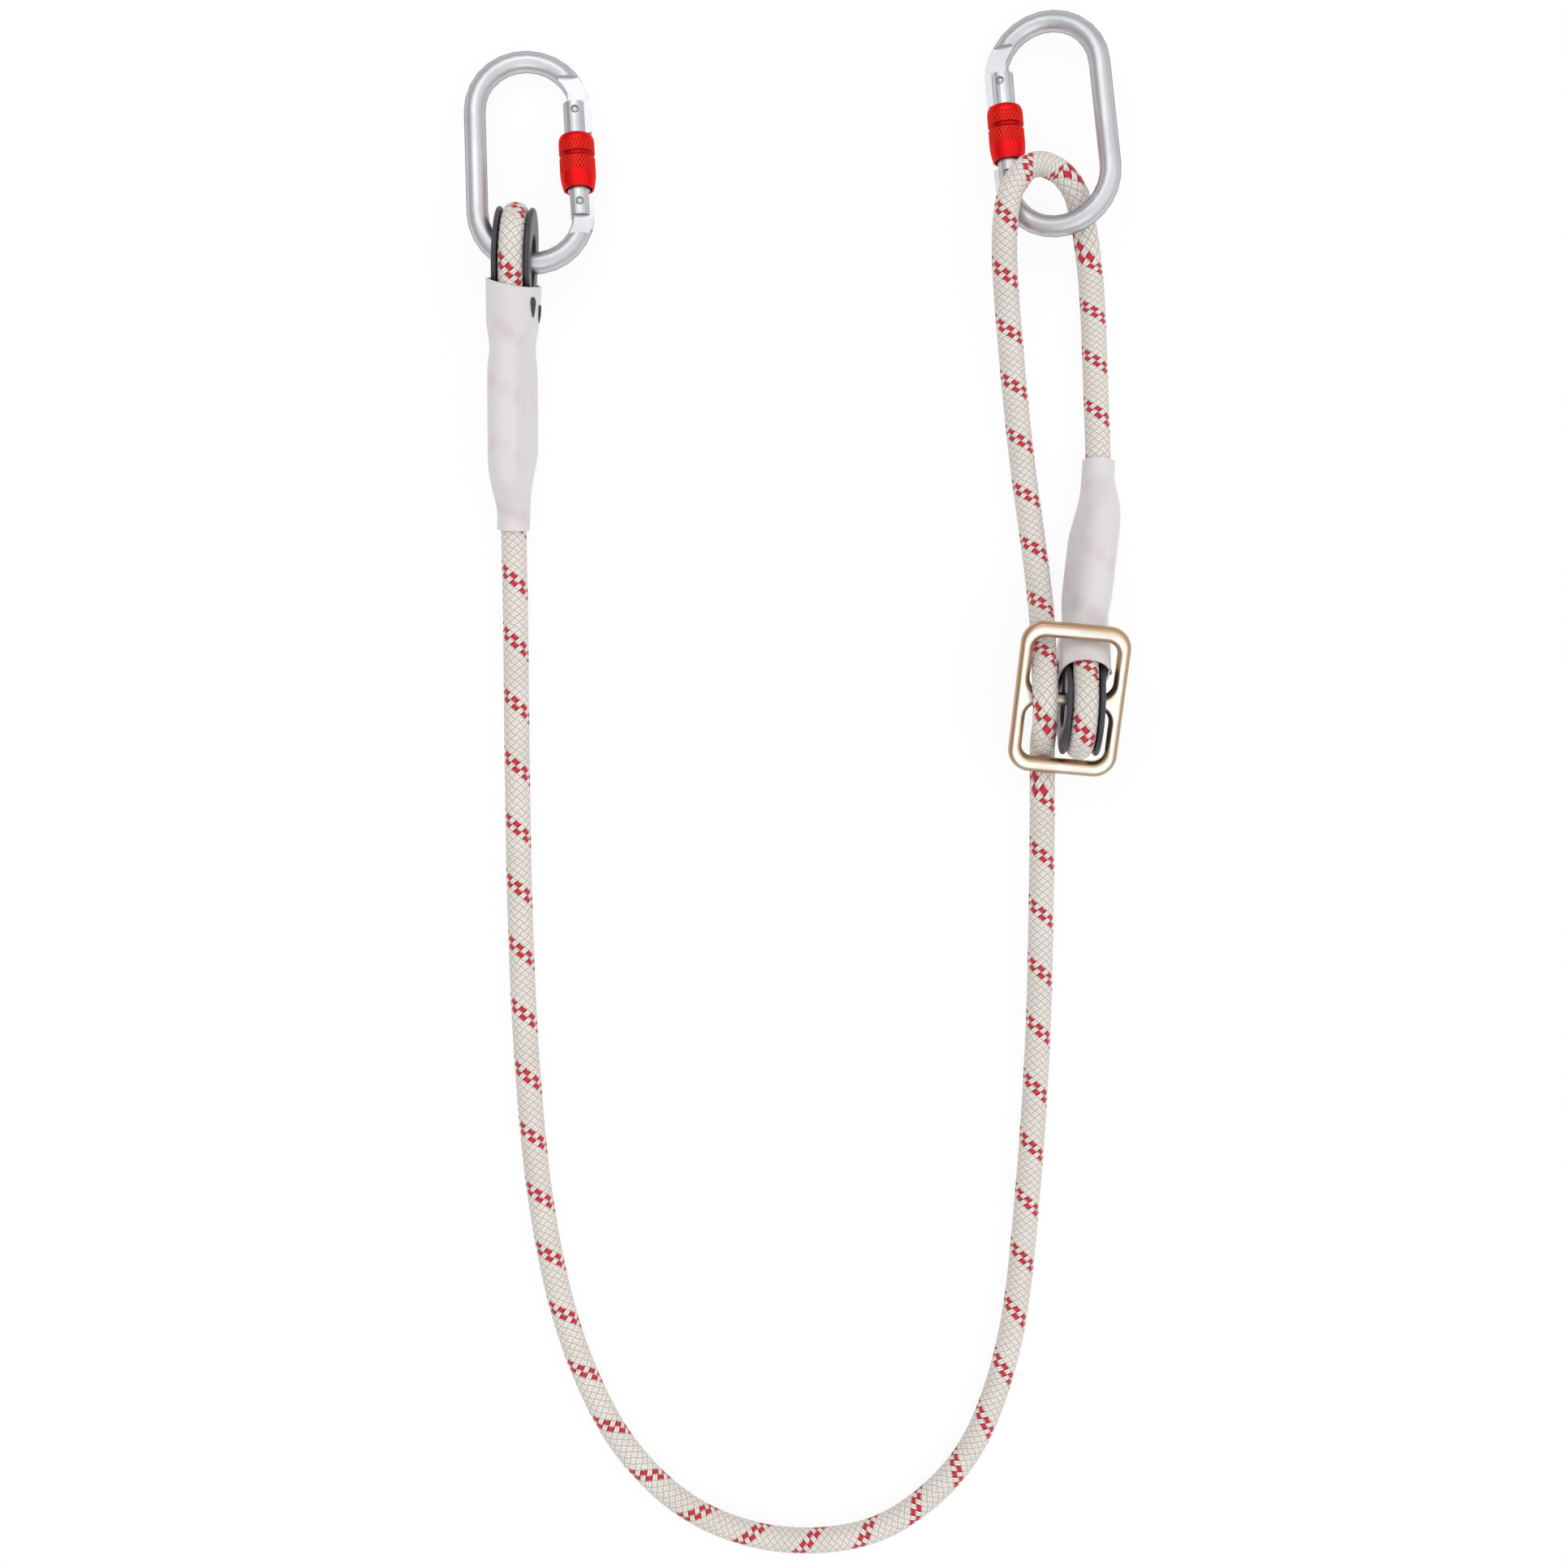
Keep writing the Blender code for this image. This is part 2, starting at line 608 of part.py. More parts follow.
def exit_offset(down, end, drift):
    # Brings the rope's middle line to the height at which the sleeve lies on the surface
    tilt = math.radians(EYE_TILT)
    rest = ROPE_R + COVER_END_SLACK + COVER_WALL + GAP - EYE_R - GAP
    wanted = (rest + down * math.sin(tilt)) / math.cos(tilt)
    return Vector((0, 0, wanted - cover_axis(down, end, drift).z))


def eye_rope_points(drift, end):
    loop = []
    for point, normal, share in eye_stations(4, 16):
        spot = point + normal * STRAND_OUT
        loop.append(Vector((0, spot.x, spot.y)))
    standing, tail = [], []
    last = end - JOIN_DEPTH
    steps = 18
    start = -LEG_END.x
    for i in range(1, steps + 1):
        down = start + (last - start) * i / steps
        half, up = strand_offset(down)
        share = exit_share(down, end)
        middle = cover_axis(down, end, drift)
        leaving = exit_offset(down, end, drift)
        standing.append(middle + up * half * (1 - share) + leaving * share)
        if down <= end - TAIL_SHORTFALL:
            tail.append(middle - up * half)
    return list(reversed(standing)) + loop + tail


def section(middle, half, radius, wide, up, count=24):
    # A stadium round two strands, with its long way along up and wide added across
    side = Vector((up.z, 0, -up.x))
    points = []
    for i in range(count):
        turn = 2 * math.pi * (i + 0.5) / count
        flank = min(max(math.cos(turn) / FLANK_SHARE, -1), 1)
        shift = half * flank + radius * math.cos(turn)
        points.append(middle + up * shift + side * (radius + wide) * math.sin(turn))
    return points


def cover_ring(down, drift, end, margin, flare):
    # The mouth also holds the thimble's flanges, and the far end only the standing rope
    half, up = strand_offset(down)
    share = exit_share(down, end)
    middle = cover_axis(down, end, drift) + exit_offset(down, end, drift) * share * share
    middle += up * half * share * (1 - share)
    open_share = 1 - smooth_step((down - THROAT - TIP_GAP) / COVER_MOUTH_EASE)
    wide = (FLANGE_T + FLANGE_SPLAY + 2 * GAP) * open_share if flare else 0
    return section(middle, half * (1 - share), ROPE_R + margin, wide, up)


def leaning_ring(down, drift, end, slack_at, wall):
    # The mouth is cut on a slant: its underside reaches further round the thimble than its top
    fade = 1 - smooth_step((down - COVER_MOUTH) / COVER_LEAN_EASE)
    ring = cover_ring(down, drift, end, slack_at(down) + wall, True)
    points = []
    for i in range(len(ring)):
        low = (1 - math.cos(2 * math.pi * (i + 0.5) / len(ring))) / 2
        own = down - COVER_MOUTH_LEAN * low * fade
        points.append(cover_ring(own, drift, end, slack_at(own) + wall, True)[i])
    return points


def spread(start, end, count):
    return [start + (end - start) * i / count for i in range(count)]


def make_cover(side, place, end, drift):
    seized = SEIZING_AT + SEIZING_LENGTH
    downs = spread(COVER_MOUTH, SEIZING_AT, 5) + spread(SEIZING_AT, seized, 4)
    downs += spread(seized, end, 7) + [end]

    def slack(down):
        eased = smooth_step((down - THROAT) / COVER_SLACK_EASE)
        near = COVER_THROAT_SLACK + (COVER_SLACK - COVER_THROAT_SLACK) * eased
        return near + (COVER_END_SLACK - near) * exit_share(down, end)

    outer = [leaning_ring(d, drift, end, slack, COVER_WALL) for d in downs]
    inner = [leaning_ring(d, drift, end, slack, 0) for d in reversed(downs)]
    return loft(side + "_clear_sleeve", outer + inner, place, CLEAR_VINYL, True)


def make_seizing(side, place, end, drift):
    seized = SEIZING_AT + SEIZING_LENGTH
    downs = spread(SEIZING_AT, seized, 4) + [seized]
    outer = [cover_ring(d, drift, end, SEIZING_SLACK + SEIZING_T, False) for d in downs]
    inner = [cover_ring(d, drift, end, SEIZING_SLACK, False) for d in reversed(downs)]
    return loft(side + "_seizing", outer + inner, place, THREAD, True)


def make_eye(side, at, turn, length, drift):
    tilt = Matrix.Rotation(math.radians(EYE_TILT), 4, "X")
    lie = Matrix.Rotation(math.radians(turn), 4, "Z")
    place = empty(side + "_eye_place", Matrix.Translation((*at, EYE_R + GAP)) @ lie @ tilt)
    end = COVER_MOUTH + length
    make_thimble(side, place)
    tube(side + "_rope_eye", eye_rope_points(drift, end), ROPE_R, place, ROPE, 3)
    make_cover(side, place, end, drift)
    make_seizing(side, place, end, drift)


def rounded(low, high, radii, count=6):
    # A rectangle's outline with a radius for each corner: low right, high right, high left, low left
    corners = []
    spots = ((high[0], low[1], -90), (high[0], high[1], 0), (low[0], high[1], 90), (low[0], low[1], 180))
    for (x, y, start), radius in zip(spots, radii):
        centre = (x - math.copysign(radius, x - (low[0] + high[0]) / 2),
                  y - math.copysign(radius, y - (low[1] + high[1]) / 2))
        corners += arc(centre, radius, start, start + 90, count)
    return corners


def make_ring():
    place = empty("ring_place", Matrix.Translation(RING_AT) @ turned_to((*RING_TURN, 0)))
    skin = RING_ROUND
    half_w, half_l = RING_WIDTH / 2, RING_LENGTH / 2
    window_w, window_l = half_w - RING_SIDE + skin, half_l - RING_END + skin
    bar = RING_CROSSBAR / 2 - skin
    outer = rounded((skin - half_w, skin - half_l), (half_w - skin, half_l - skin), [RING_CORNER - skin] * 4)
    far, near = RING_WINDOW_CORNER + skin, RING_CROTCH + skin
    upper = rounded((-window_w, bar), (window_w, window_l), (near, far, far, near))
    lower = rounded((-window_w, -window_l), (window_w, -bar), (far, near, near, far))
    made = curve_object("adjuster_ring", [(outer, True), (upper, True), (lower, True)], place, "2D")
    made.data.fill_mode = "BOTH"
    made.data.extrude = RING_T / 2 - skin
    made.data.bevel_depth = skin
    made.data.bevel_resolution = 2
    made = meshed(made, YELLOW_ZINC, PARTS)
    round_shade(made)
    return made


clear_scene()
PARTS = new_collection("tree_climbing_lanyard")
GUIDES = new_collection("cutters_and_guides")
STEEL = new_material("zinc_plated_steel", (0.58, 0.59, 0.61), 0.28, 1)
SPRING_STEEL = new_material("spring_steel", (0.42, 0.42, 0.44), 0.35, 1)
BRASS = new_material("brass", (0.62, 0.46, 0.2), 0.35, 1)
RED_ALUMINIUM = new_material("red_anodised_aluminium", (0.75, 0.01, 0.015), 0.3, 0.9)
YELLOW_ZINC = new_material("yellow_zinc_steel", (0.66, 0.55, 0.38), 0.25, 1)
BLACK_PLASTIC = new_material("black_plastic", (0.035, 0.035, 0.045), 0.45, 0)
CLEAR_VINYL = new_material("clear_vinyl", (0.72, 0.68, 0.71), 0.35, 0)
ROPE = new_material("polyamide_rope", (0.75, 0.7, 0.63), 0.8, 0)
THREAD = new_material("seizing_thread", (0.8, 0.8, 0.78), 0.7, 0)

hang_turn = math.radians(LEFT_HANG_ANGLE - 90)
left_hang = Vector((ARC_R * math.cos(hang_turn), ARC_R * math.sin(hang_turn) - ARC_Y, 0))
make_clip("left", LEFT_CLIP_HANGS_AT, LEFT_CLIP_TURN, False, left_hang)
make_clip("right", RIGHT_CLIP_HANGS_AT, RIGHT_CLIP_TURN, True, Vector((0, -ARC_Y, 0)))
make_eye("left", LEFT_EYE_AT, LEFT_EYE_TURN, LEFT_COVER_LENGTH, LEFT_DRIFT)
make_eye("right", RIGHT_EYE_AT, RIGHT_EYE_TURN, RIGHT_COVER_LENGTH, RIGHT_DRIFT)
make_ring()
tube("rope", thinned(smooth_route(ROUTE), ROUTE_STEP, ROUTE_TURN), ROPE_R, None, ROPE, 3)
bpy.context.view_layer.update()
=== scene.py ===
# Looks for the tree climbing lanyard: braided rope, milky vinyl sleeves, moulded thimbles, plated
# steel carabiners with knurled red screw sleeves, and a yellow-zinc adjuster ring.
from math import asin, atan2, cos, hypot, pi, radians, sin, sqrt, tan

import bmesh
import bpy
import numpy as np
from mathutils import Matrix, Vector
from mathutils.geometry import interpolate_bezier
from mathutils.kdtree import KDTree


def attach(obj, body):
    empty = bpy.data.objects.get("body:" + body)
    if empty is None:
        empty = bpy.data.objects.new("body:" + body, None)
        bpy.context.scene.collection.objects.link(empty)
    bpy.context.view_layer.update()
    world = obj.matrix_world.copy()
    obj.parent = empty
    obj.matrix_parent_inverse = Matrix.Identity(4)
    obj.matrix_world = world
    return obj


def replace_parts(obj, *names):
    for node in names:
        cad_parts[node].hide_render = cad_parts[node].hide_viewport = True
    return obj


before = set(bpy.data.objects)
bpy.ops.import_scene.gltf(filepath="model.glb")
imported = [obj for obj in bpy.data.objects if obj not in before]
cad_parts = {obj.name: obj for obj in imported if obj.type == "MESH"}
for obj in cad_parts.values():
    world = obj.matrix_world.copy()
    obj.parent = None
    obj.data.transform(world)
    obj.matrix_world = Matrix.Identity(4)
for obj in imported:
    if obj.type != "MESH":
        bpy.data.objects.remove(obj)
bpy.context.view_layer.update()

MM = 0.001

# Points nearer than this are one point
DOUBLED = MM / 1000

# Node kinds used often
MATH = "ShaderNodeMath"
MIX = "ShaderNodeMix"
RANGE = "ShaderNodeMapRange"
NOISE = "ShaderNodeTexNoise"
ATTRIBUTE = "ShaderNodeAttribute"
COORDS = "ShaderNodeTexCoord"
BUMP = "ShaderNodeBump"
SHADER = "ShaderNodeBsdfPrincipled"

# Camera: square photograph taken from straight above
CAMERA_AT = (-0.0046, -0.1804, 1.15)
CAMERA_LENS = 56.36
CAMERA_SENSOR = 36

# Stage: a floor, and softboxes with their place, size in metres and power in watts
FLOOR_SIZE = 6
LAMPS_AIM = (0, -0.1, 0)
LAMPS = (("key", (-0.35, 1.1, 1.5), (1.5, 0.5), 3), ("near", (0, -1.3, 1.4), (1.4, 0.5), 2))
# Brightness of the tent along its axis
TENT_AXIS = (0.28, 0, 0.96)
TENT_LEVELS = ((0, 0.38), (0.45, 0.6), (0.75, 0.9), (1, 0.96))

# Rope cover: sixteen strands, eight each way, two neighbours of one way red
ROPE_D = 12 * MM
ROPE_R = ROPE_D / 2
STRANDS_EACH_WAY = 8
STRAND_LIFT = 0.13 * MM
STRAND_CROWN = 0.3 * MM
STRAND_CORE_R = 5.8 * MM
RED_STRANDS = 2
YARNS_A_STRAND = 2
YARN_DEPTH = 0.05 * MM
FUZZ_DEPTH = 0.05 * MM
LAY_LENGTH = 28.4 * MM
ROWS_A_CELL = 5
ROW_STEP = LAY_LENGTH / STRANDS_EACH_WAY / ROWS_A_CELL
COLUMNS_ROUND = 48

# Route of the free rope from the left sleeve to the right one, in millimetres
ROUTE = [
    (-130.4, -59.7, 8), (-129.7, -101.4, 6.1), (-128.9, -171.9, 6.1), (-127.5, -242.3, 6.1),
    (-124.1, -312.7, 6.1), (-117.6, -376.2, 6.1), (-105.5, -432.1, 6.1), (-86.7, -476.6, 6.1),
    (-65.2, -504.4, 6.1), (-40.3, -522.3, 6.1), (-8.9, -531.9, 6.1), (24, -531.4, 6.1),
    (48.7, -522.5, 6.1), (73.9, -501.3, 6.1), (89.6, -475, 6.1), (101.8, -432.8, 6.1),
    (109, -369.4, 6.1), (113.6, -299.1, 6.1), (115.4, -226.4, 6.1), (115.8, -171.5, 6.3),
    (115.4, -164, 9.3), (114.9, -158.8, 18.5), (114.6, -153.8, 29), (114.2, -147.8, 35.1),
    (114, -141.7, 36.9), (114, -131.3, 33.5), (114.1, -101.9, 18.4), (112.2, -75.3, 8.3),
    (106.3, -29.6, 6.1), (101.2, 18.4, 8.4), (96.8, 64.7, 20.8), (98.5, 88.4, 25.1),
    (104.5, 100, 24.5), (109.7, 103.7, 23.4), (115.9, 104.1, 21.8), (125, 99.4, 18.7),
    (131.7, 88.8, 14.8), (137.9, 54.8, 8.7), (140.7, 2.2, 6.4), (141.7, -33, 8),
]
BEZIER_STEPS = 24

# Red marks along the rope: the first, then how many follow and how far apart, in millimetres. The
# odd spacings are at the adjuster ring, and where the rope turns round the carabiner.
FIRST_MARK = 25.6
MARK_RUNS = (
    (4, 28.9), (1, 27.8), (3, 29.1), (4, 27.9), (2, 28.2), (2, 29), (4, 27.1), (3, 26.1), (1, 27.3),
    (3, 25.6), (1, 27.6), (5, 27), (1, 52.5), (1, 29.5), (1, 25), (1, 30), (3, 25.6), (3, 26),
    (1, 24.5), (1, 17), (1, 46.2), (2, 22.7), (1, 24.1),
)


def linear(code):
    # An sRGB hex colour as linear light
    parts = [int(code[i:i + 2], 16) / 255 for i in (1, 3, 5)]
    return tuple(p / 12.92 if p <= 0.04045 else ((p + 0.055) / 1.055) ** 2.4 for p in parts) + (1,)


def put(tree, kind, inputs=None, **settings):
    # Adds a node: its settings, then each input as a value, or as a link from a node or a socket
    made = tree.nodes.new(kind)
    for name, value in settings.items():
        setattr(made, name, value)
    for key, value in (inputs or {}).items():
        if isinstance(value, bpy.types.Node):
            value = next(socket for socket in value.outputs if socket.enabled)
        if isinstance(value, bpy.types.NodeSocket):
            tree.links.new(value, made.inputs[key])
        else:
            made.inputs[key].default_value = value
    return made


def material(name, look, *tones):
    # look adds its nodes to the tree, and returns the shader that closes it
    made = bpy.data.materials.new(name)
    made.use_nodes = True
    tree = made.node_tree
    tree.nodes.clear()
    put(tree, "ShaderNodeOutputMaterial", {"Surface": look(tree, *tones)})
    return made


def set_stops(ramp, stops):
    # Gives a colour ramp its stops, each a place and a linear colour
    elements = ramp.color_ramp.elements
    while len(elements) < len(stops):
        elements.new(0.5)
    for element, (at, colour) in zip(elements, stops):
        element.position = at
        element.color = colour


def growth_tree(name, sockets):
    # An empty geometry tree with these named inputs, and geometry as its output
    tree = bpy.data.node_groups.new(name, "GeometryNodeTree")
    for label, kind in sockets:
        tree.interface.new_socket(label, in_out="INPUT", socket_type="NodeSocket" + kind)
    tree.interface.new_socket("Geometry", in_out="OUTPUT", socket_type="NodeSocketGeometry")
    return tree


def scene_object(name, data):
    made = bpy.data.objects.new(name, data)
    bpy.context.scene.collection.objects.link(made)
    return made


def mesh_object(name, mesh, stuff):
    mesh.materials.append(stuff)
    return scene_object(name, mesh)


def store(mesh, label, values):
    # Keeps one number a point, for a material or a node tree to read
    mesh.attributes.new(label, "FLOAT", "POINT").data.foreach_set("value", values)


def write_out(work, mesh):
    # Joins doubled points, turns every face outwards and fills the mesh
    bmesh.ops.remove_doubles(work, verts=work.verts, dist=DOUBLED)
    bmesh.ops.recalc_face_normals(work, faces=work.faces)
    work.to_mesh(mesh)
    work.free()


def spin(degrees, axis):
    return Matrix.Rotation(radians(degrees), 4, axis)


def smooth(obj, angle=35):
    obj.data.shade_smooth()
    obj.data.set_sharp_from_angle(angle=radians(angle))
    return obj


def evaluated(obj):
    # The object's shape with its modifiers worked in, as a plain mesh
    bpy.context.view_layer.update()
    return bpy.data.meshes.new_from_object(obj.evaluated_get(bpy.context.evaluated_depsgraph_get()))


# Rope

def smooth_route(points):
    # The same smooth curve as the CAD rope's: handles follow the neighbours' chord
    places = [Vector([MM * c for c in p]) for p in points]
    tangents = []
    for i, place in enumerate(places):
        before, after = places[max(i - 1, 0)], places[min(i + 1, len(places) - 1)]
        reach = (after - place).length + (place - before).length
        tangents.append((after - before) / reach)
    fine = []
    for i in range(len(places) - 1):
        third = (places[i + 1] - places[i]).length / 3
        start, end = places[i] + tangents[i] * third, places[i + 1] - tangents[i + 1] * third
        fine += interpolate_bezier(places[i], start, end, places[i + 1], BEZIER_STEPS)[:-1]
    fine.append(places[-1])
    path = np.array([tuple(p) for p in fine])
    path[:, 2] = np.maximum(path[:, 2], ROPE_R)
    return path


def run_along(path):
    return np.concatenate([[0], np.cumsum(np.linalg.norm(np.diff(path, axis=0), axis=1))])


def evenly(path, step):
    run = run_along(path)
    places = np.linspace(0, run[-1], int(round(run[-1] / step)) + 1)
    return np.stack([np.interp(places, run, path[:, i]) for i in range(3)], axis=1), places


def unit(rows):
    return rows / np.linalg.norm(rows, axis=1, keepdims=True)


def braid_heights(tree, lanes):
    # For each way: which strand is at hand, how far off its middle, and its height in millimetres
    found = []
    for own, other, way in ((0, 1, 1), (1, 0, -1)):
        strand = put(tree, MATH, {0: lanes[own]}, operation="ROUND")
        off = put(tree, MATH, {0: lanes[own], 1: strand}, operation="SUBTRACT")
        apart = put(tree, MATH, {0: lanes[other], 1: strand}, operation="SUBTRACT")
        angle = put(tree, MATH, {0: apart, 1: pi}, operation="MULTIPLY")
        swing = put(tree, MATH, {0: angle}, operation="COSINE")
        lift = put(tree, MATH, {0: swing, 1: way * STRAND_LIFT / MM}, operation="MULTIPLY")
        square = put(tree, MATH, {0: off, 1: off}, operation="MULTIPLY")
        height = put(tree, MATH, {0: square, 1: -4 * STRAND_CROWN / MM, 2: lift}, operation="MULTIPLY_ADD")
        found.append((strand, off, height))
    return found


def braided_polyamide(tree, yarn, shade, mark, mark_shade):
    # Braided polyamide: soft off-white yarns side by side in each strand, matt, with painted shade between
    # yarns and strands and where they dive
    lay = put(tree, "ShaderNodeSeparateXYZ", {0: put(tree, "ShaderNodeUVMap", uv_map="lay")})
    one, two = braid_heights(tree, lay.outputs[:2])
    over = put(tree, MATH, {0: one[2], 1: two[2]}, operation="GREATER_THAN")
    wrapped = put(tree, MATH, {0: one[0], 1: STRANDS_EACH_WAY}, operation="FLOORED_MODULO")
    pair = put(tree, MATH, {0: wrapped, 1: RED_STRANDS - 0.5}, operation="LESS_THAN")
    red = put(tree, MATH, {0: over, 1: pair}, operation="MULTIPLY")

    off = put(tree, MIX, {0: over, 2: two[1], 3: one[1]}, data_type="FLOAT")
    crossing = put(tree, MIX, {0: over, 2: one[1], 3: two[1]}, data_type="FLOAT")
    turn = put(tree, MATH, {0: off, 1: 2 * pi * YARNS_A_STRAND}, operation="MULTIPLY")
    ripple = put(tree, MATH, {0: turn}, operation="COSINE")
    place = put(tree, COORDS).outputs["Object"]
    fuzz = put(tree, NOISE, {"Vector": place, "Scale": 0.9 / MM, "Detail": 3, "Roughness": 0.6})
    wear = put(tree, NOISE, {"Vector": place, "Scale": 0.04 / MM, "Detail": 2})

    # Height in millimetres that the mesh doesn't carry: yarns and loose filaments
    grooved = put(tree, MATH, {0: ripple, 1: -YARN_DEPTH / MM}, operation="MULTIPLY")
    relief = put(tree, MATH, {0: fuzz, 1: FUZZ_DEPTH / MM, 2: grooved}, operation="MULTIPLY_ADD")
    bump = put(tree, BUMP, {"Strength": 1, "Distance": MM, "Height": relief})

    # Painted shade: dark between yarns, darker between strands, and darker where a strand dives under the
    # next; the wear noise laid over it is the rope's own
    aside = put(tree, MATH, {0: off}, operation="ABSOLUTE")
    ahead = put(tree, MATH, {0: crossing}, operation="ABSOLUTE")
    edge = put(tree, RANGE, {0: aside, 1: 0.36, 2: 0.5, 3: 1, 4: 0.15})
    dive = put(tree, RANGE, {0: ahead, 1: 0.2, 2: 0.5, 3: 1, 4: 0.4})
    crest = put(tree, RANGE, {0: ripple, 1: 1, 2: -0.3, 3: 0.5, 4: 1})
    painted_strand_shade = put(tree, MATH, {0: edge, 1: dive}, operation="MULTIPLY")
    light = put(tree, MATH, {0: painted_strand_shade, 1: crest}, operation="MULTIPLY")
    grubby = put(tree, RANGE, {0: wear, 1: 0.35, 2: 0.7, 3: 1, 4: 0.86})
    wear_and_painted_shade = put(tree, MATH, {0: light, 1: grubby}, operation="MULTIPLY")
    pale = put(tree, MIX, {0: wear_and_painted_shade, 6: linear(shade), 7: linear(yarn)}, data_type="RGBA")
    # Painted shade on the red strands, at their edges and where they dive
    red_painted_shade = put(tree, RANGE, {0: painted_strand_shade, 1: 0.25, 2: 0.9, 3: 0, 4: 1})
    bright = put(tree, MIX, {0: red_painted_shade, 6: linear(mark_shade), 7: linear(mark)}, data_type="RGBA")
    mixed = put(tree, MIX, {0: red, 6: pale, 7: bright}, data_type="RGBA")
    return put(tree, SHADER, {
        "Base Color": mixed, "Roughness": 0.75, "IOR": 1.53, "Sheen Weight": 0.15, "Sheen Roughness": 0.5,
        "Normal": bump,
    })


def braid_tree():
    # Lifts a plain tube into crossing strands: each goes over one of the other way, then under one
    sockets = (("Geometry", "Geometry"), ("Unit", "Float"), ("Material", "Material"))
    tree = growth_tree("braided cover", sockets)
    source = put(tree, "NodeGroupInput")
    lanes = []
    for label in ("lane_one", "lane_two"):
        lanes.append(put(tree, "GeometryNodeInputNamedAttribute", {"Name": label}, data_type="FLOAT"))
    one, two = braid_heights(tree, lanes)
    top = put(tree, MATH, {0: one[2], 1: two[2]}, operation="MAXIMUM")
    rise = put(tree, MATH, {0: top, 1: source.outputs["Unit"]}, operation="MULTIPLY")
    out = put(tree, "ShaderNodeVectorMath", {0: put(tree, "GeometryNodeInputNormal"), "Scale": rise},
              operation="SCALE")
    moved = put(tree, "GeometryNodeSetPosition", {"Geometry": source.outputs["Geometry"], "Offset": out})
    solid = put(tree, "GeometryNodeRealizeInstances", {0: moved})
    dressed = put(tree, "GeometryNodeSetMaterial", {0: solid, "Material": source.outputs["Material"]})
    put(tree, "NodeGroupOutput", {0: dressed})
    return tree


def grow(obj, tree, values):
    # Runs a node tree on the object once, and keeps what it makes as a plain mesh
    step = obj.modifiers.new(tree.name, "NODES")
    step.node_group = tree
    for item in tree.interface.items_tree:
        if item.in_out == "INPUT" and item.name in values:
            step[item.identifier] = values[item.name]
    mesh, old = evaluated(obj), obj.data
    obj.modifiers.clear()
    obj.data = mesh
    bpy.data.meshes.remove(old)


def braided(name, path, ups, turns, stuff):
    # A tube round the path, each point of which knows its place across the strands of both ways
    tangents = unit(np.gradient(path, axis=0))
    sides = unit(np.cross(tangents, ups))
    uprights = np.cross(sides, tangents)
    rows, columns = len(path), COLUMNS_ROUND
    shares = np.arange(columns) / columns
    angles = 2 * np.pi * shares
    up, aside = np.cos(angles)[None, :, None], np.sin(angles)[None, :, None]
    ring = up * uprights[:, None, :] + aside * sides[:, None, :]
    spots = (path[:, None, :] + STRAND_CORE_R * ring).reshape(-1, 3)
    faces = []
    for r in range(rows - 1):
        low, high = r * columns, (r + 1) * columns
        for c in range(columns):
            d = (c + 1) % columns
            faces.append((low + c, low + d, high + d, high + c))
    faces.append(tuple(reversed(range(columns))))
    faces.append(tuple(range((rows - 1) * columns, rows * columns)))
    mesh = bpy.data.meshes.new(name)
    mesh.from_pydata(spots.tolist(), [], faces)
    lanes = []
    for label, way in (("lane_one", 1), ("lane_two", -1)):
        lane = STRANDS_EACH_WAY * (turns[:, None] + way * shares[None, :])
        store(mesh, label, lane.ravel())
        lanes.append(lane.ravel())
    corner = np.zeros(len(mesh.loops), dtype=np.int32)
    mesh.loops.foreach_get("vertex_index", corner)
    places = np.stack([lanes[0][corner], lanes[1][corner]], axis=1)
    # The seam's far corners read a full turn, so the pattern runs on across it
    quads = places[:(rows - 1) * columns * 4].reshape(-1, 4, 2)
    last = np.arange(len(quads)) % columns == columns - 1
    quads[last, 1:3] += (STRANDS_EACH_WAY, -STRANDS_EACH_WAY)
    mesh.uv_layers.new(name="lay").uv.foreach_set("vector", places.ravel())
    made = mesh_object(name, mesh, stuff)
    grow(made, BRAID_TREE, {"Unit": MM, "Material": stuff})
    return smooth(made, 60)


def free_rope(stuff):
    fine = smooth_route(ROUTE)
    path, run = evenly(fine, ROW_STEP)
    spacings = [spacing for count, spacing in MARK_RUNS for _ in range(count)]
    marks = MM * np.cumsum([FIRST_MARK, *spacings])
    turns = np.interp(run, marks, np.arange(len(marks)))
    # Past the end marks the lay is even
    turns += (np.minimum(run - marks[0], 0) + np.maximum(run - marks[-1], 0)) / LAY_LENGTH
    # The two red strands' shared edge crosses the top line at each mark
    turns += 0.5 / STRANDS_EACH_WAY
    made = braided("rope_braid", path, np.tile([0.0, 0.0, 1.0], (len(path), 1)), turns, stuff)
    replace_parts(made, "rope")
    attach(made, "lanyard")
    return made


# Eyes: the rope's ends round the thimbles, with X across the eye, Y to its crown and Z in its plane
EYE_HOLE_R = 9 * MM
EYE_HOLE_L = 36 * MM
THIMBLE_WALL = 2 * MM
FLANGE_T = 2.3 * MM
FLANGE_SETBACK = 2.4 * MM
FLANGE_SPLAY = 1.1 * MM
TIP_GAP = 1.2 * MM
TIP_HEIGHT_SHARE = 0.45
FIT = 0.35 * MM
STRAND_GAP = 0.7 * MM
EYE_TILT = 10
STACK_TWIST = 23
COVER_WALL = 1 * MM
COVER_SLACK = 1.5 * MM
COVER_THROAT_SLACK = 0.5 * MM
COVER_END_SLACK = 0.6 * MM
COVER_MOUTH = 19 * MM
FLANK_SHARE = 0.3
COVER_MOUTH_EASE = 18 * MM
COVER_LEAN_EASE = 22 * MM
COVER_SLACK_EASE = 24 * MM
COVER_COLUMNS = 72
SEIZED_ROWS = 40
FREE_ROWS = 35
TAIL_SHORTFALL = 38 * MM
EXIT_LENGTH = 33 * MM
JOIN_DEPTH = 3 * MM
STRAND_STEPS = 90
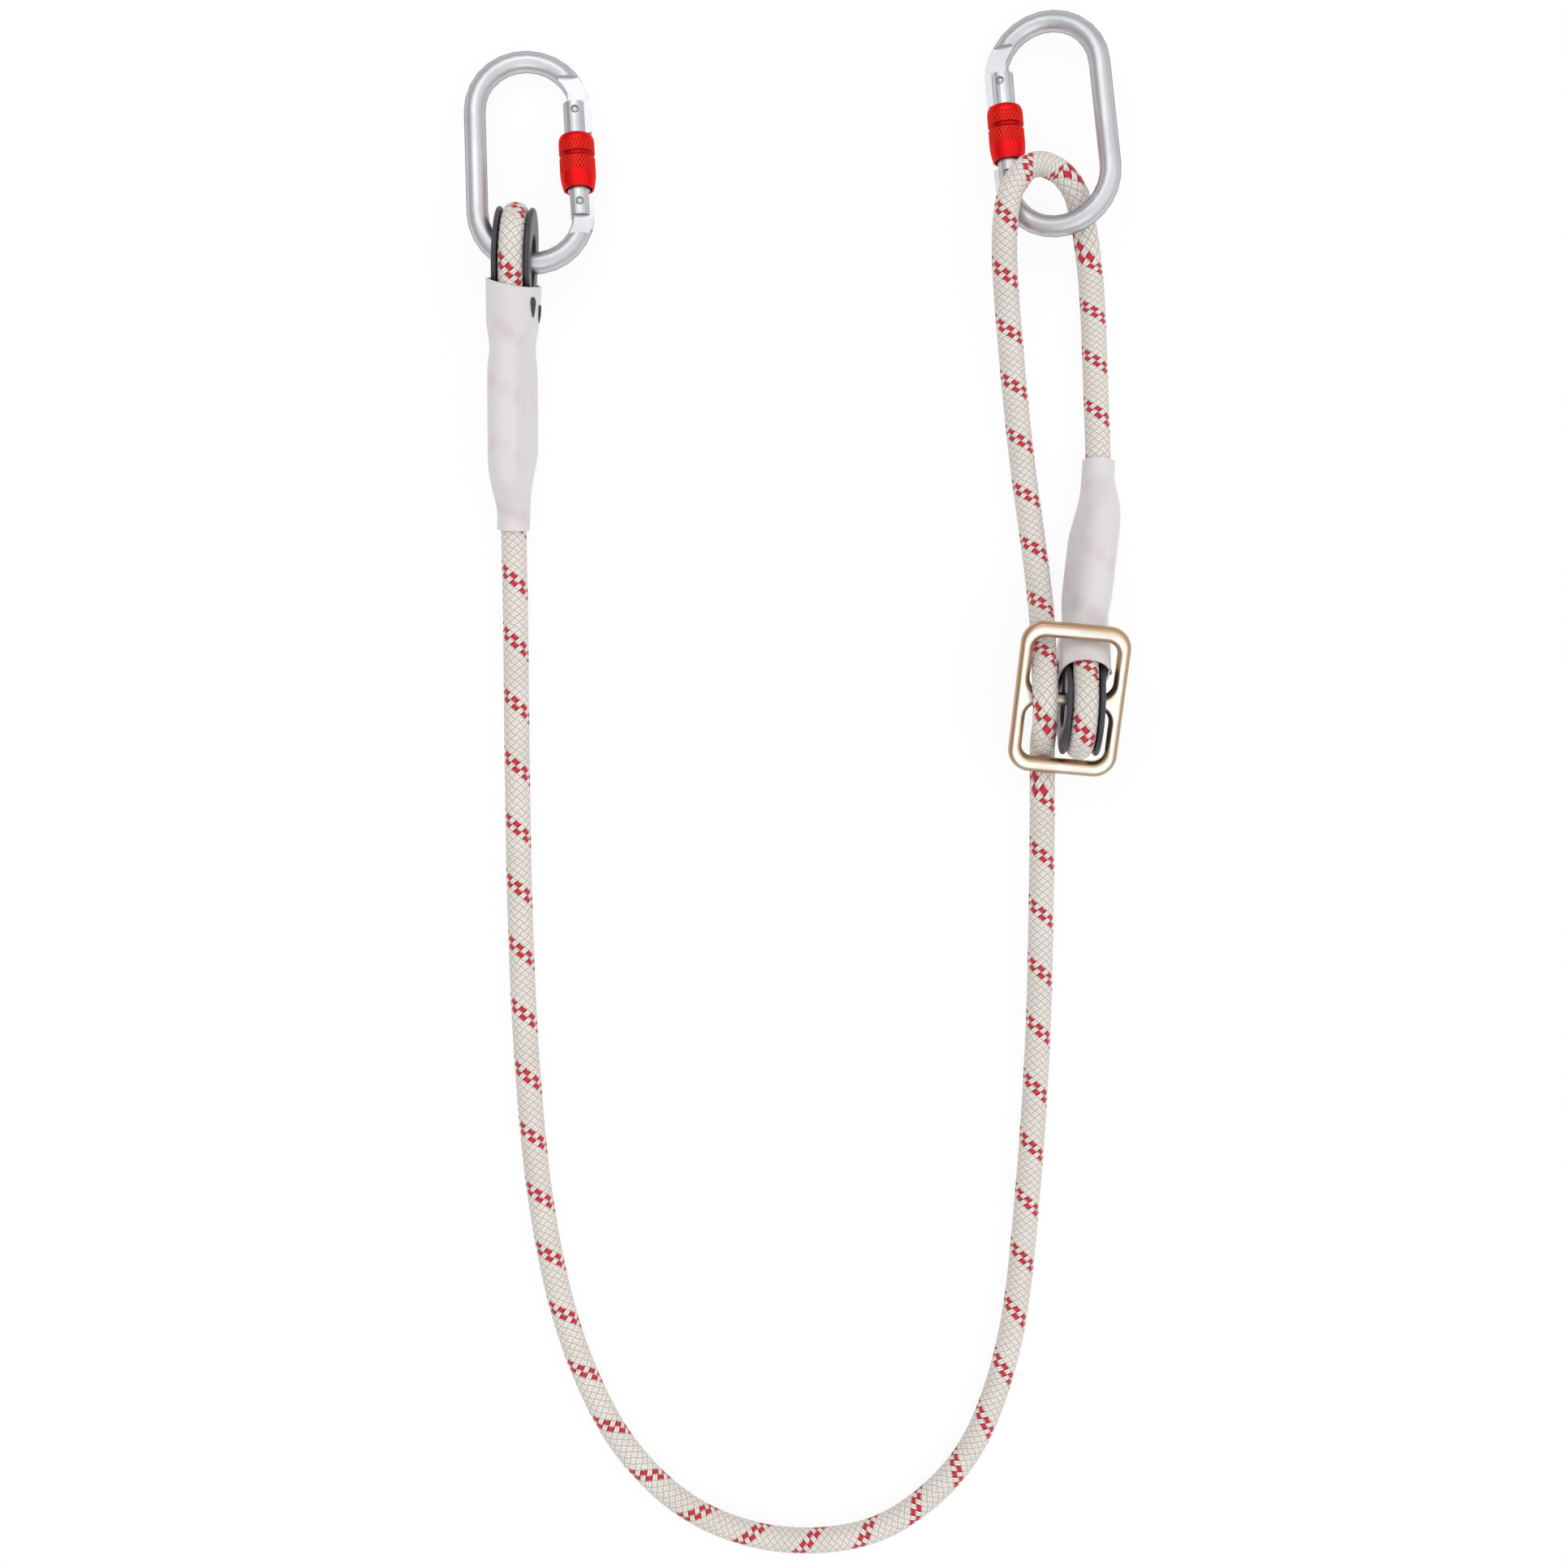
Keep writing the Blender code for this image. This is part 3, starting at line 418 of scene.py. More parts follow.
# Steps down each leg and round the bend
ROPE_EYE_STEPS = (10, 60)
THIMBLE_STEPS = (16, 56)
FOOT_STEPS = 4
LIP_STEPS = 8
CHANNEL_STEPS = 16
BEND_START = 36 * MM
BEND_LENGTH = 30 * MM
SEIZING_AT = 47 * MM
SEIZING_LENGTH = 20 * MM
TWINE_D = 0.5 * MM
TIP_STEPS = 8
TIP_COLUMNS = 12
TIP_PROUD = 0.5 * MM
TIP_FLATNESS = 0.5
# Shares of a corner's half width: at its root, its growth along the length, and least left at its point
TIP_ROOT = 0.4
TIP_SWELL = 3
TIP_POINT = 0.02
# Thimble corners showing at each sleeve's mouth: angle round the sleeve, start, end and half width
TIPS = {
    "left": ((62, 0.0195, 0.0285, 0.0017), (88, 0.0225, 0.031, 0.0016), (272, 0.018, 0.0235, 0.0013)),
    "right": ((85, 0.014, 0.0225, 0.0018), (274, 0.0155, 0.0195, 0.0013)),
}
GHOST_REACH = 3.5 * MM
GHOST_COUNT = 48
EYES = {
    "left": dict(at=(-0.128, 0.063), turn=-3, length=0.107, drift=0.004, phase=0.35,
                 reach=0.0045, lean=0.003, skew=0.0016),
    "right": dict(at=(0.1318, -0.1462), turn=177, length=0.098, drift=-0.004, phase=-0.02,
                  reach=0, lean=0.009, skew=0),
}

THROAT = EYE_HOLE_L - EYE_HOLE_R
STRAND_OUT = THIMBLE_WALL + FIT + ROPE_R
EYE_R = EYE_HOLE_R + STRAND_OUT + ROPE_R
TIP_AWAY = hypot(THROAT, TIP_GAP / 2)
LEG_ANGLE = asin(EYE_HOLE_R / TIP_AWAY) - atan2(TIP_GAP / 2, THROAT)
STRAND_HALF = ROPE_R + STRAND_GAP / 2
LEG_NORMAL = Vector((-sin(LEG_ANGLE), cos(LEG_ANGLE)))
LEG_END = Vector((-THROAT, TIP_GAP / 2)) + LEG_NORMAL * STRAND_OUT
MERGE = 2 * (LEG_END.y - STRAND_HALF) / tan(LEG_ANGLE)


def smooth_step(share):
    share = min(max(share, 0), 1)
    return share * share * (3 - 2 * share)


def eye_stations(leg_count, arc_count):
    # Places on the hole's wall, with the normal there, from the upper tip to the lower
    tip, start = Vector((-THROAT, TIP_GAP / 2)), LEG_NORMAL * EYE_HOLE_R
    leg = [(tip.lerp(start, i / leg_count), LEG_NORMAL, i / leg_count) for i in range(leg_count)]
    first, last = pi / 2 + LEG_ANGLE, -pi / 2 - LEG_ANGLE
    bend = []
    for i in range(arc_count + 1):
        turn = first + (last - first) * i / arc_count
        normal = Vector((cos(turn), sin(turn)))
        bend.append((normal * EYE_HOLE_R, normal, 1))
    mirrored = [(Vector((p.x, -p.y)), Vector((n.x, -n.y)), s) for p, n, s in reversed(leg)]
    return leg + bend + mirrored


def cover_axis(down, length, drift):
    rise = tan(radians(EYE_TILT))
    run = min(max(down - BEND_START, 0), BEND_LENGTH)
    bend = rise * run * run / (2 * BEND_LENGTH) + rise * max(down - BEND_START - BEND_LENGTH, 0)
    return Vector((drift * smooth_step((down - THROAT) / (length - THROAT)), -down, bend))


def strand_offset(down):
    into = min((down + LEG_END.x) / MERGE, 1)
    half = STRAND_HALF + (LEG_END.y - STRAND_HALF) * (1 - into) ** 2
    if into < 0:
        half = LEG_END.y - (down + LEG_END.x) * tan(LEG_ANGLE)
    twist = radians(STACK_TWIST) * smooth_step((down - THROAT) / BEND_LENGTH)
    return half, Vector((-sin(twist), 0, cos(twist)))


def exit_share(down, end):
    return smooth_step((down - end + TAIL_SHORTFALL) / EXIT_LENGTH)


def exit_offset(down, length, drift):
    tilt = radians(EYE_TILT)
    rest = ROPE_R + COVER_END_SLACK + COVER_WALL - EYE_R
    wanted = (rest + down * sin(tilt)) / cos(tilt)
    return Vector((0, 0, wanted - cover_axis(down, length, drift).z))


def eye_rope_points(drift, end):
    # The rope's middle line from the sleeve's far end, round the eye and back to its tail
    loop = []
    for point, normal, share in eye_stations(*ROPE_EYE_STEPS):
        spot = point + normal * STRAND_OUT
        loop.append(Vector((0, spot.x, spot.y)))
    standing, tail = [], []
    last, start = end - JOIN_DEPTH, -LEG_END.x
    for i in range(1, STRAND_STEPS + 1):
        down = start + (last - start) * i / STRAND_STEPS
        half, up = strand_offset(down)
        share = exit_share(down, end)
        middle = cover_axis(down, end, drift)
        standing.append(middle + up * half * (1 - share) + exit_offset(down, end, drift) * share)
        if down <= end - TAIL_SHORTFALL:
            tail.append(middle - up * half)
    return list(reversed(standing)) + loop + tail


def section(middle, half, radius, wide, up):
    side = Vector((up.z, 0, -up.x))
    points = []
    for i in range(COVER_COLUMNS):
        turn = 2 * pi * (i + 0.5) / COVER_COLUMNS
        flank = min(max(cos(turn) / FLANK_SHARE, -1), 1)
        shift = half * flank + radius * cos(turn)
        points.append(middle + up * shift + side * (radius + wide) * sin(turn))
    return points


def cover_ring(down, drift, end, margin):
    half, up = strand_offset(down)
    share = exit_share(down, end)
    middle = cover_axis(down, end, drift) + exit_offset(down, end, drift) * share * share
    middle += up * half * share * (1 - share)
    open_share = 1 - smooth_step((down - THROAT - TIP_GAP) / COVER_MOUTH_EASE)
    wide = (FLANGE_T + FLANGE_SPLAY + 2 * FIT) * open_share
    return section(middle, half * (1 - share), ROPE_R + margin, wide, up)


def leaning_ring(down, eye, end, slack_at, wall):
    # The mouth is cut on a slant: its underside reaches further round the thimble than its top
    fade = 1 - smooth_step((down - COVER_MOUTH) / COVER_LEAN_EASE)
    points = []
    for i in range(COVER_COLUMNS):
        turn = 2 * pi * (i + 0.5) / COVER_COLUMNS
        cut = eye["skew"] * sin(turn) - eye["reach"] - eye["lean"] * (1 - cos(turn)) / 2
        own = down + cut * fade
        points.append(cover_ring(own, eye["drift"], end, slack_at(own) + wall)[i])
    return points


def loft(name, rings, stuff, closed=False):
    # Joins rings of equal count with quads, and caps the two ends of an open loft
    work = bmesh.new()
    loops = [[work.verts.new(point) for point in ring] for ring in rings]
    pairs = list(zip(loops, loops[1:])) + ([(loops[-1], loops[0])] if closed else [])
    for one, two in pairs:
        for i in range(len(one)):
            j = (i + 1) % len(one)
            work.faces.new((one[i], one[j], two[j], two[i]))
    if not closed:
        work.faces.new(loops[0])
        work.faces.new(loops[-1])
    bmesh.ops.recalc_face_normals(work, faces=work.faces)
    mesh = bpy.data.meshes.new(name)
    work.to_mesh(mesh)
    work.free()
    return mesh_object(name, mesh, stuff)


def eye_place(side):
    eye = EYES[side]
    return Matrix.Translation((*eye["at"], EYE_R + FIT)) @ spin(eye["turn"], "Z") @ spin(EYE_TILT, "X")


def eye_rope(side, stuff):
    eye = EYES[side]
    place = eye_place(side)
    end = COVER_MOUTH + eye["length"]
    points = [place @ p for p in eye_rope_points(eye["drift"], end)]
    path, run = evenly(np.array([tuple(p) for p in points]), ROW_STEP)
    across = np.array(place.to_3x3() @ Vector((1, 0, 0)))
    ups = np.cross(unit(np.gradient(path, axis=0)), across)
    made = braided(side + "_eye_braid", path, ups, run / LAY_LENGTH + eye["phase"], stuff)
    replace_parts(made, side + "_rope_eye")
    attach(made, "lanyard")
    return made


def show_ghosts(sleeve, rope):
    # How much red lies close beneath each point of the sleeve, blurred by its milky wall
    count = len(rope.data.vertices)
    lane_one, lane_two, spots = np.empty(count), np.empty(count), np.empty(count * 3)
    rope.data.attributes["lane_one"].data.foreach_get("value", lane_one)
    rope.data.attributes["lane_two"].data.foreach_get("value", lane_two)
    rope.data.vertices.foreach_get("co", spots)
    spots = spots.reshape(-1, 3)
    strand = np.round(lane_one)
    over = np.cos(np.pi * (lane_two - strand)) > 0
    red = spots[over & (strand % STRANDS_EACH_WAY < RED_STRANDS)]
    tree = KDTree(len(red))
    for i, spot in enumerate(red):
        tree.insert(spot, i)
    tree.balance()
    near = [len(tree.find_range(vertex.co, GHOST_REACH)) for vertex in sleeve.data.vertices]
    store(sleeve.data, "ghost", [min(found / GHOST_COUNT, 1) for found in near])


def clear_sleeve(side, rope, stuff):
    eye = EYES[side]
    end = COVER_MOUTH + eye["length"]
    seized = SEIZING_AT + SEIZING_LENGTH
    downs = [*np.linspace(COVER_MOUTH, seized, SEIZED_ROWS + 1)]
    downs += [*np.linspace(seized, end, FREE_ROWS + 1)[1:]]

    def slack(down):
        eased = smooth_step((down - THROAT) / COVER_SLACK_EASE)
        near = COVER_THROAT_SLACK + (COVER_SLACK - COVER_THROAT_SLACK) * eased
        return near + (COVER_END_SLACK - near) * exit_share(down, end)

    outer = [leaning_ring(d, eye, end, slack, COVER_WALL) for d in downs]
    inner = [leaning_ring(d, eye, end, slack, 0) for d in reversed(downs)]
    made = loft(side + "_vinyl_sleeve", outer + inner, stuff, True)
    made.data.transform(eye_place(side))
    show_ghosts(made, rope)
    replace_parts(smooth(made, 50), side + "_clear_sleeve")
    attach(made, "lanyard")
    return made


def thimble_section(share):
    # A channel open outwards, with rounded flange edges, tapering to the tips
    height = TIP_HEIGHT_SHARE + (1 - TIP_HEIGHT_SHARE) * smooth_step(share)
    splay = FLANGE_SPLAY * (1 - smooth_step(share))
    half, wide = ROPE_R + FIT, ROPE_R + FIT + FLANGE_T
    rim = STRAND_OUT + ROPE_R - FLANGE_SETBACK
    soft = FLANGE_T / 3
    right = []
    for i in range(FOOT_STEPS + 1):
        turn = pi / 2 * i / FOOT_STEPS
        right.append((soft * (1 - cos(turn)), wide - soft * (1 - sin(turn))))
    for i in range(LIP_STEPS + 1):
        turn = pi * i / LIP_STEPS
        across = half + splay + FLANGE_T / 2 + FLANGE_T / 2 * cos(turn)
        right.append((rim - FLANGE_T / 2 + FLANGE_T / 2 * sin(turn), across))
    right.append((STRAND_OUT, half))
    groove = []
    for i in range(1, CHANNEL_STEPS):
        turn = pi * i / CHANNEL_STEPS
        groove.append((STRAND_OUT - half * sin(turn), half * cos(turn)))
    left = [(h, -w) for h, w in reversed(right)]
    return [(h * height, w) for h, w in right + groove + left]


def thimble(side, stuff):
    rings = []
    for point, normal, share in eye_stations(*THIMBLE_STEPS):
        ring = []
        for height, across in thimble_section(share):
            spot = point + normal * height
            ring.append((across, spot.x, spot.y))
        rings.append(ring)
    made = loft(side + "_thimble_moulding", rings, stuff)
    made.data.transform(eye_place(side))
    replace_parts(smooth(made, 40), side + "_thimble")
    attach(made, "lanyard")
    return made


def thimble_tip(side, which, turn, start, end, radius, stuff):
    # A corner of the thimble's end that has pushed out through the sleeve, lying along its wall
    eye = EYES[side]
    end_of_sleeve = COVER_MOUTH + eye["length"]
    rings = []
    for i in range(TIP_STEPS + 1):
        share = i / TIP_STEPS
        down = start + (end - start) * share
        around = cover_ring(down, eye["drift"], end_of_sleeve, COVER_WALL + COVER_THROAT_SLACK + TIP_PROUD)
        spot = around[round(turn / 360 * COVER_COLUMNS)]
        out = (spot - cover_axis(down, end_of_sleeve, eye["drift"])).normalized()
        aside = out.cross(Vector((0, 1, 0))).normalized()
        size = radius * sqrt(max(1 - share, TIP_POINT)) * min(1, TIP_ROOT + TIP_SWELL * share)
        ring = []
        for k in range(TIP_COLUMNS):
            angle = 2 * pi * k / TIP_COLUMNS
            ring.append(spot + aside * size * cos(angle) + out * size * TIP_FLATNESS * sin(angle))
        rings.append(ring)
    made = loft(f"{side}_thimble_tip_{which}", rings, stuff)
    made.data.transform(eye_place(side))
    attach(smooth(made, 50), "lanyard")
    return made


# Carabiners, in their own plane: X to the gate, Y to the nose, Z through the thickness
HINGE_AT = (22.6 * MM, -20.6 * MM, 0)
GATE_LEAN = 1.2
GATE_SPAN = 44.51 * MM
GATE_R = 5.2 * MM
PIN_R = 1.75 * MM
PIN_CROWN = 0.3 * MM
DOME_SHARE = 0.72
DOME_DROP = 0.45 * MM
DOME_STEPS = 6
PIN_SEGMENTS = 40
# Shares of the pin's radius, and drops from its tip, across the turned ring round the dome
HEAD_RING = ((0.8, 0.5 * MM), (0.9, 0.2 * MM), (1, 0.35 * MM))
CLIPS = {
    "left": dict(at=(-0.1225, 0.1075, 0.0134), turns=(2.5, -8.2, 6), flip=0),
    "right": dict(at=(0.1195, 0.1245, 0.017), turns=(5, -7, -19), flip=180),
}

# A joined face with more corners and more area than these is a pressed flat
FACET_CORNERS = 6
LEAST_FLAT = 4 * MM * MM
# Faces turning less than the first are joined, and edges turning more than the second are sharp
JOIN_ANGLE = radians(0.3)
SHARP_ANGLE = radians(30)

# Screw sleeve, measured down from its top
LOCK_R = 8.3 * MM
LOCK_BORE = 5.55 * MM
LOCK_TOP = 32.91 * MM
LOCK_LENGTH = 26 * MM
LOCK_SHOULDER = 3.6 * MM
LOCK_CROWN = 1.6 * MM
LOCK_GROOVE = 0.9 * MM
LOCK_GROOVE_AT = 10.2 * MM
LOCK_GROOVE_HALF = 1.2 * MM
LOCK_BAND_END = 18.6 * MM
LOCK_TAPER = 1.2 * MM
LOCK_TAPER_CURVE = 1.6
LOCK_RIM = 0.9 * MM
LOCK_SKIRT_DEPTH = 4 * MM
BAND_STEP = 0.2 * MM
GROOVE_STEP = 0.3 * MM
LOCK_SEGMENTS = 96
CROWN_STEPS = 12
GROOVE_STEPS = 8
TAPER_STEPS = 8
KNURL_DEPTH = 0.35 * MM
# How much painted shade darkens the dye at the roots of the knurl and in the groove
GROOVE_SHADE = 0.7
# The real knurl has half as many ridges again, too fine for a photograph of the whole lanyard
KNURL_COUNT = 30
KNURL_SLOPE = 30
RIDGE_STEPS = 6


def gate_place(side):
    clip = CLIPS[side]
    yaw, pitch, roll = clip["turns"]
    turn = spin(yaw, "Z") @ spin(pitch, "X") @ spin(roll, "Y")
    plane = Matrix.Translation(clip["at"]) @ turn @ spin(clip["flip"], "Y")
    return plane @ Matrix.Translation(HINGE_AT) @ spin(GATE_LEAN, "Z")


def turned(name, profile, segments, stuff, closed):
    # Spins (radius, height) pairs round Z; a profile that isn't closed starts and ends on the axis
    work = bmesh.new()
    loops = []
    for i in range(segments):
        turn = 2 * pi * i / segments
        loops.append([work.verts.new((r * cos(turn), r * sin(turn), z)) for r, z in profile])
    count = len(profile)
    for i in range(segments):
        one, two = loops[i], loops[(i + 1) % segments]
        for j in range(count if closed else count - 1):
            k = (j + 1) % count
            work.faces.new((one[j], two[j], two[k], one[k]))
    mesh = bpy.data.meshes.new(name)
    write_out(work, mesh)
    return mesh_object(name, mesh, stuff)


def knurl_tree():
    # Crossing ridges rolled into a band: each is a bar on a helix, repeated round the axis both ways
    lengths = [(name, "Float") for name in ("Radius", "Bottom", "Top", "Slope turns", "Ridge radius")]
    tree = growth_tree("rolled knurl", lengths + [("Ridges", "Int"), ("Material", "Material")])
    source = put(tree, "NodeGroupInput")
    radius, bottom, top, slope, thick, ridges, stuff = source.outputs[:7]

    square = put(tree, "GeometryNodeCurvePrimitiveCircle", {"Resolution": 4, "Radius": thick})
    line = put(tree, "GeometryNodeMeshLine", {"Count": RIDGE_STEPS + 1})
    index = put(tree, "GeometryNodeInputIndex")
    share = put(tree, MATH, {0: index, 1: RIDGE_STEPS}, operation="DIVIDE")
    span = put(tree, MATH, {0: top, 1: bottom}, operation="SUBTRACT")
    height = put(tree, MATH, {0: share, 1: span, 2: bottom}, operation="MULTIPLY_ADD")
    step = put(tree, MATH, {0: 2 * pi, 1: ridges}, operation="DIVIDE")
    lead = put(tree, MATH, {0: share, 1: slope}, operation="MULTIPLY")
    both = []
    for way in (1, -1):
        turn = put(tree, MATH, {0: lead, 1: way * 2 * pi}, operation="MULTIPLY")
        east, north = (put(tree, MATH, {0: turn}, operation=kind) for kind in ("COSINE", "SINE"))
        east = put(tree, MATH, {0: east, 1: radius}, operation="MULTIPLY")
        north = put(tree, MATH, {0: north, 1: radius}, operation="MULTIPLY")
        spot = put(tree, "ShaderNodeCombineXYZ", {0: east, 1: north, 2: height})
        helix = put(tree, "GeometryNodeSetPosition", {"Geometry": line, "Position": spot})
        curve = put(tree, "GeometryNodeMeshToCurve", {0: helix})
        ridge = put(tree, "GeometryNodeCurveToMesh", {
            "Curve": curve, "Profile Curve": square, "Fill Caps": True,
        })
        points = put(tree, "GeometryNodePoints", {"Count": ridges})
        each = put(tree, MATH, {0: put(tree, "GeometryNodeInputIndex"), 1: step}, operation="MULTIPLY")
        about = put(tree, "ShaderNodeCombineXYZ", {2: each})
        copies = put(tree, "GeometryNodeInstanceOnPoints", {
            "Points": points, "Instance": ridge, "Rotation": about,
        })
        both.append(copies)
    joined = put(tree, "GeometryNodeJoinGeometry")
    for copies in both:
        tree.links.new(copies.outputs[0], joined.inputs[0])
    solid = put(tree, "GeometryNodeRealizeInstances", {0: joined})
    dressed = put(tree, "GeometryNodeSetMaterial", {0: solid, "Material": stuff})
    # The ridges carry 1, for the painted highlight on the knurl's crests
    crest = put(tree, "GeometryNodeStoreNamedAttribute", {0: dressed, "Name": "crest", "Value": 1},
                data_type="FLOAT", domain="POINT")
    put(tree, "NodeGroupOutput", {0: crest})
    return tree


def lock_profile():
    # Down the outside: crown, band, groove, band and tapered skirt, then up inside the skirt to the bore
    profile = [(LOCK_BORE, 0)]
    for i in range(CROWN_STEPS + 1):
        turn = pi / 2 * i / CROWN_STEPS
        rise = LOCK_CROWN * (1 - sin(turn))
        profile.append((LOCK_R - rise, -LOCK_SHOULDER * (1 - cos(turn))))
    root = LOCK_R - KNURL_DEPTH
    above, below = LOCK_GROOVE_HALF - LOCK_GROOVE_AT, -LOCK_GROOVE_HALF - LOCK_GROOVE_AT
    profile += [(root, -LOCK_SHOULDER - BAND_STEP), (root, above + GROOVE_STEP), (LOCK_R, above)]
    for i in range(GROOVE_STEPS + 1):
        turn = pi * (i / GROOVE_STEPS - 0.5)
        depth = LOCK_GROOVE * cos(turn)
        profile.append((LOCK_R - depth, -LOCK_GROOVE_AT - LOCK_GROOVE_HALF * sin(turn)))
    profile += [(LOCK_R, below), (root, below - GROOVE_STEP), (root, BAND_STEP - LOCK_BAND_END)]
    profile.append((LOCK_R, -LOCK_BAND_END))
    foot = -LOCK_LENGTH
    drop = LOCK_LENGTH - LOCK_BAND_END
    for i in range(1, TAPER_STEPS + 1):
        share = i / TAPER_STEPS
        profile.append((LOCK_R - LOCK_TAPER * share ** LOCK_TAPER_CURVE, -LOCK_BAND_END - drop * share))
    skirt = LOCK_R - LOCK_TAPER - LOCK_RIM
    profile += [(skirt, foot), (skirt, foot + LOCK_SKIRT_DEPTH)]
    profile.append((LOCK_BORE, foot + LOCK_SKIRT_DEPTH + skirt - LOCK_BORE))
    return profile


def screw_sleeve(side, stuff):
    body = turned(side + "_screw_sleeve_shell", lock_profile(), LOCK_SEGMENTS, stuff, True)
    smooth(body, 40)
    painted_root_shade_values = []
    # Painted shade, darker towards the roots of the knurl and in the groove
    for vertex in body.data.vertices:
        sunk = min((LOCK_R - vertex.co.xy.length) / KNURL_DEPTH, 1)
        painted_root_shade_values.append(-sunk * GROOVE_SHADE if -LOCK_BAND_END < vertex.co.z < -LOCK_SHOULDER else 0)
    store(body.data, "crest", painted_root_shade_values)
    lengths = (
        (-LOCK_SHOULDER, -LOCK_GROOVE_AT + LOCK_GROOVE_HALF),
        (-LOCK_GROOVE_AT - LOCK_GROOVE_HALF, -LOCK_BAND_END),
    )
    lie = gate_place(side) @ Matrix.Translation((0, LOCK_TOP, 0)) @ spin(-90, "X")
    made = [body]
    for label, (top, bottom) in zip(("upper", "lower"), lengths):
        slope = (top - bottom) * tan(radians(KNURL_SLOPE)) / (2 * pi * LOCK_R)
        band = scene_object(f"{side}_screw_sleeve_{label}_knurl", bpy.data.meshes.new("knurl"))
        grow(band, KNURL_TREE, {
            "Radius": LOCK_R - KNURL_DEPTH, "Bottom": bottom, "Top": top, "Slope turns": slope,
            "Ridge radius": KNURL_DEPTH, "Ridges": KNURL_COUNT, "Material": stuff,
        })
        made.append(band)
    for piece in made:
        piece.data.transform(lie)
        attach(piece, side + "_screw_sleeve")
    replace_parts(body, side + "_screw_sleeve")
    return made


def rivet(side, which, at, stuff):
    # A peened head each end: a crowned dome inside a shallow turned ring
    tip = GATE_R + PIN_CROWN
    half = []
    for i in range(DOME_STEPS + 1):
        turn = pi / 2 * i / DOME_STEPS
        half.append((PIN_R * DOME_SHARE * sin(turn), tip - DOME_DROP * (1 - cos(turn))))
    half += [(PIN_R * share, tip - drop) for share, drop in HEAD_RING]
    profile = half + [(r, -z) for r, z in reversed(half)]
    made = turned(f"{side}_{which}_rivet", profile, PIN_SEGMENTS, stuff, False)
    made.data.transform(gate_place(side) @ Matrix.Translation((0, at, 0)))
    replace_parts(smooth(made, 50), f"{side}_{which}_pin")
    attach(made, side + "_gate")
    return made


def polished(side, node, body, stuff):
    # The forged piece with its faces joined: light runs smoothly over it, and breaks at pressed flats
    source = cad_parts[side + node]
    from_gate = gate_place(side).inverted()
    mesh = source.data.copy()
    mesh.transform(source.matrix_world)
    work = bmesh.new()
    work.from_mesh(mesh)
    ground = work.faces.layers.float.new("ground")
    bmesh.ops.remove_doubles(work, verts=work.verts, dist=DOUBLED)
    bmesh.ops.dissolve_limit(work, angle_limit=JOIN_ANGLE, verts=work.verts, edges=work.edges)
    flats = set()
    for face in work.faces:
        face.smooth = True
        if len(face.verts) > FACET_CORNERS and face.calc_area() > LEAST_FLAT:
            flats.add(face)
            face[ground] = node == "_clip_frame" and (from_gate @ face.calc_center_median()).y > GATE_SPAN
    for edge in work.edges:
        pressed = not flats.isdisjoint(edge.link_faces)
        edge.smooth = edge.calc_face_angle(0) < SHARP_ANGLE and not pressed
    work.to_mesh(mesh)
    work.free()
    mesh.materials.clear()
    made = mesh_object(side + node + "_polished", mesh, stuff)
    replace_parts(made, side + node)
    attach(made, side + body)
    return made


# Adjuster ring: a pressed figure-of-eight plate with fully rounded bars
RING_LENGTH = 72 * MM
RING_WIDTH = 50.2 * MM
RING_T = 6.2 * MM
RING_SIDE = 5.9 * MM
RING_END = 7.2 * MM
RING_CROSSBAR = 5.8 * MM
RING_CORNER = 10.5 * MM
RING_WINDOW_CORNER = 5.6 * MM
RING_CROTCH = 6.5 * MM
RING_ROUND = 2.7 * MM
RING_AT = (125.8 * MM, -141.7 * MM, 27.2 * MM)
RING_YAW = -5
RING_PITCH = 20
CORNER_STEPS = 18


def rounded(low, high, radii):
    # A rectangle from its lower left corner round, each corner with its own radius
    corners = ((low[0], low[1], 1, 1, 180), (high[0], low[1], -1, 1, 270),
               (high[0], high[1], -1, -1, 0), (low[0], high[1], 1, -1, 90))
    points = []
    for (x, y, east, north, start), radius in zip(corners, radii):
        for i in range(CORNER_STEPS + 1):
            turn = radians(start + 90 * i / CORNER_STEPS)
            points.append((x + radius * (east + cos(turn)), y + radius * (north + sin(turn))))
    return points


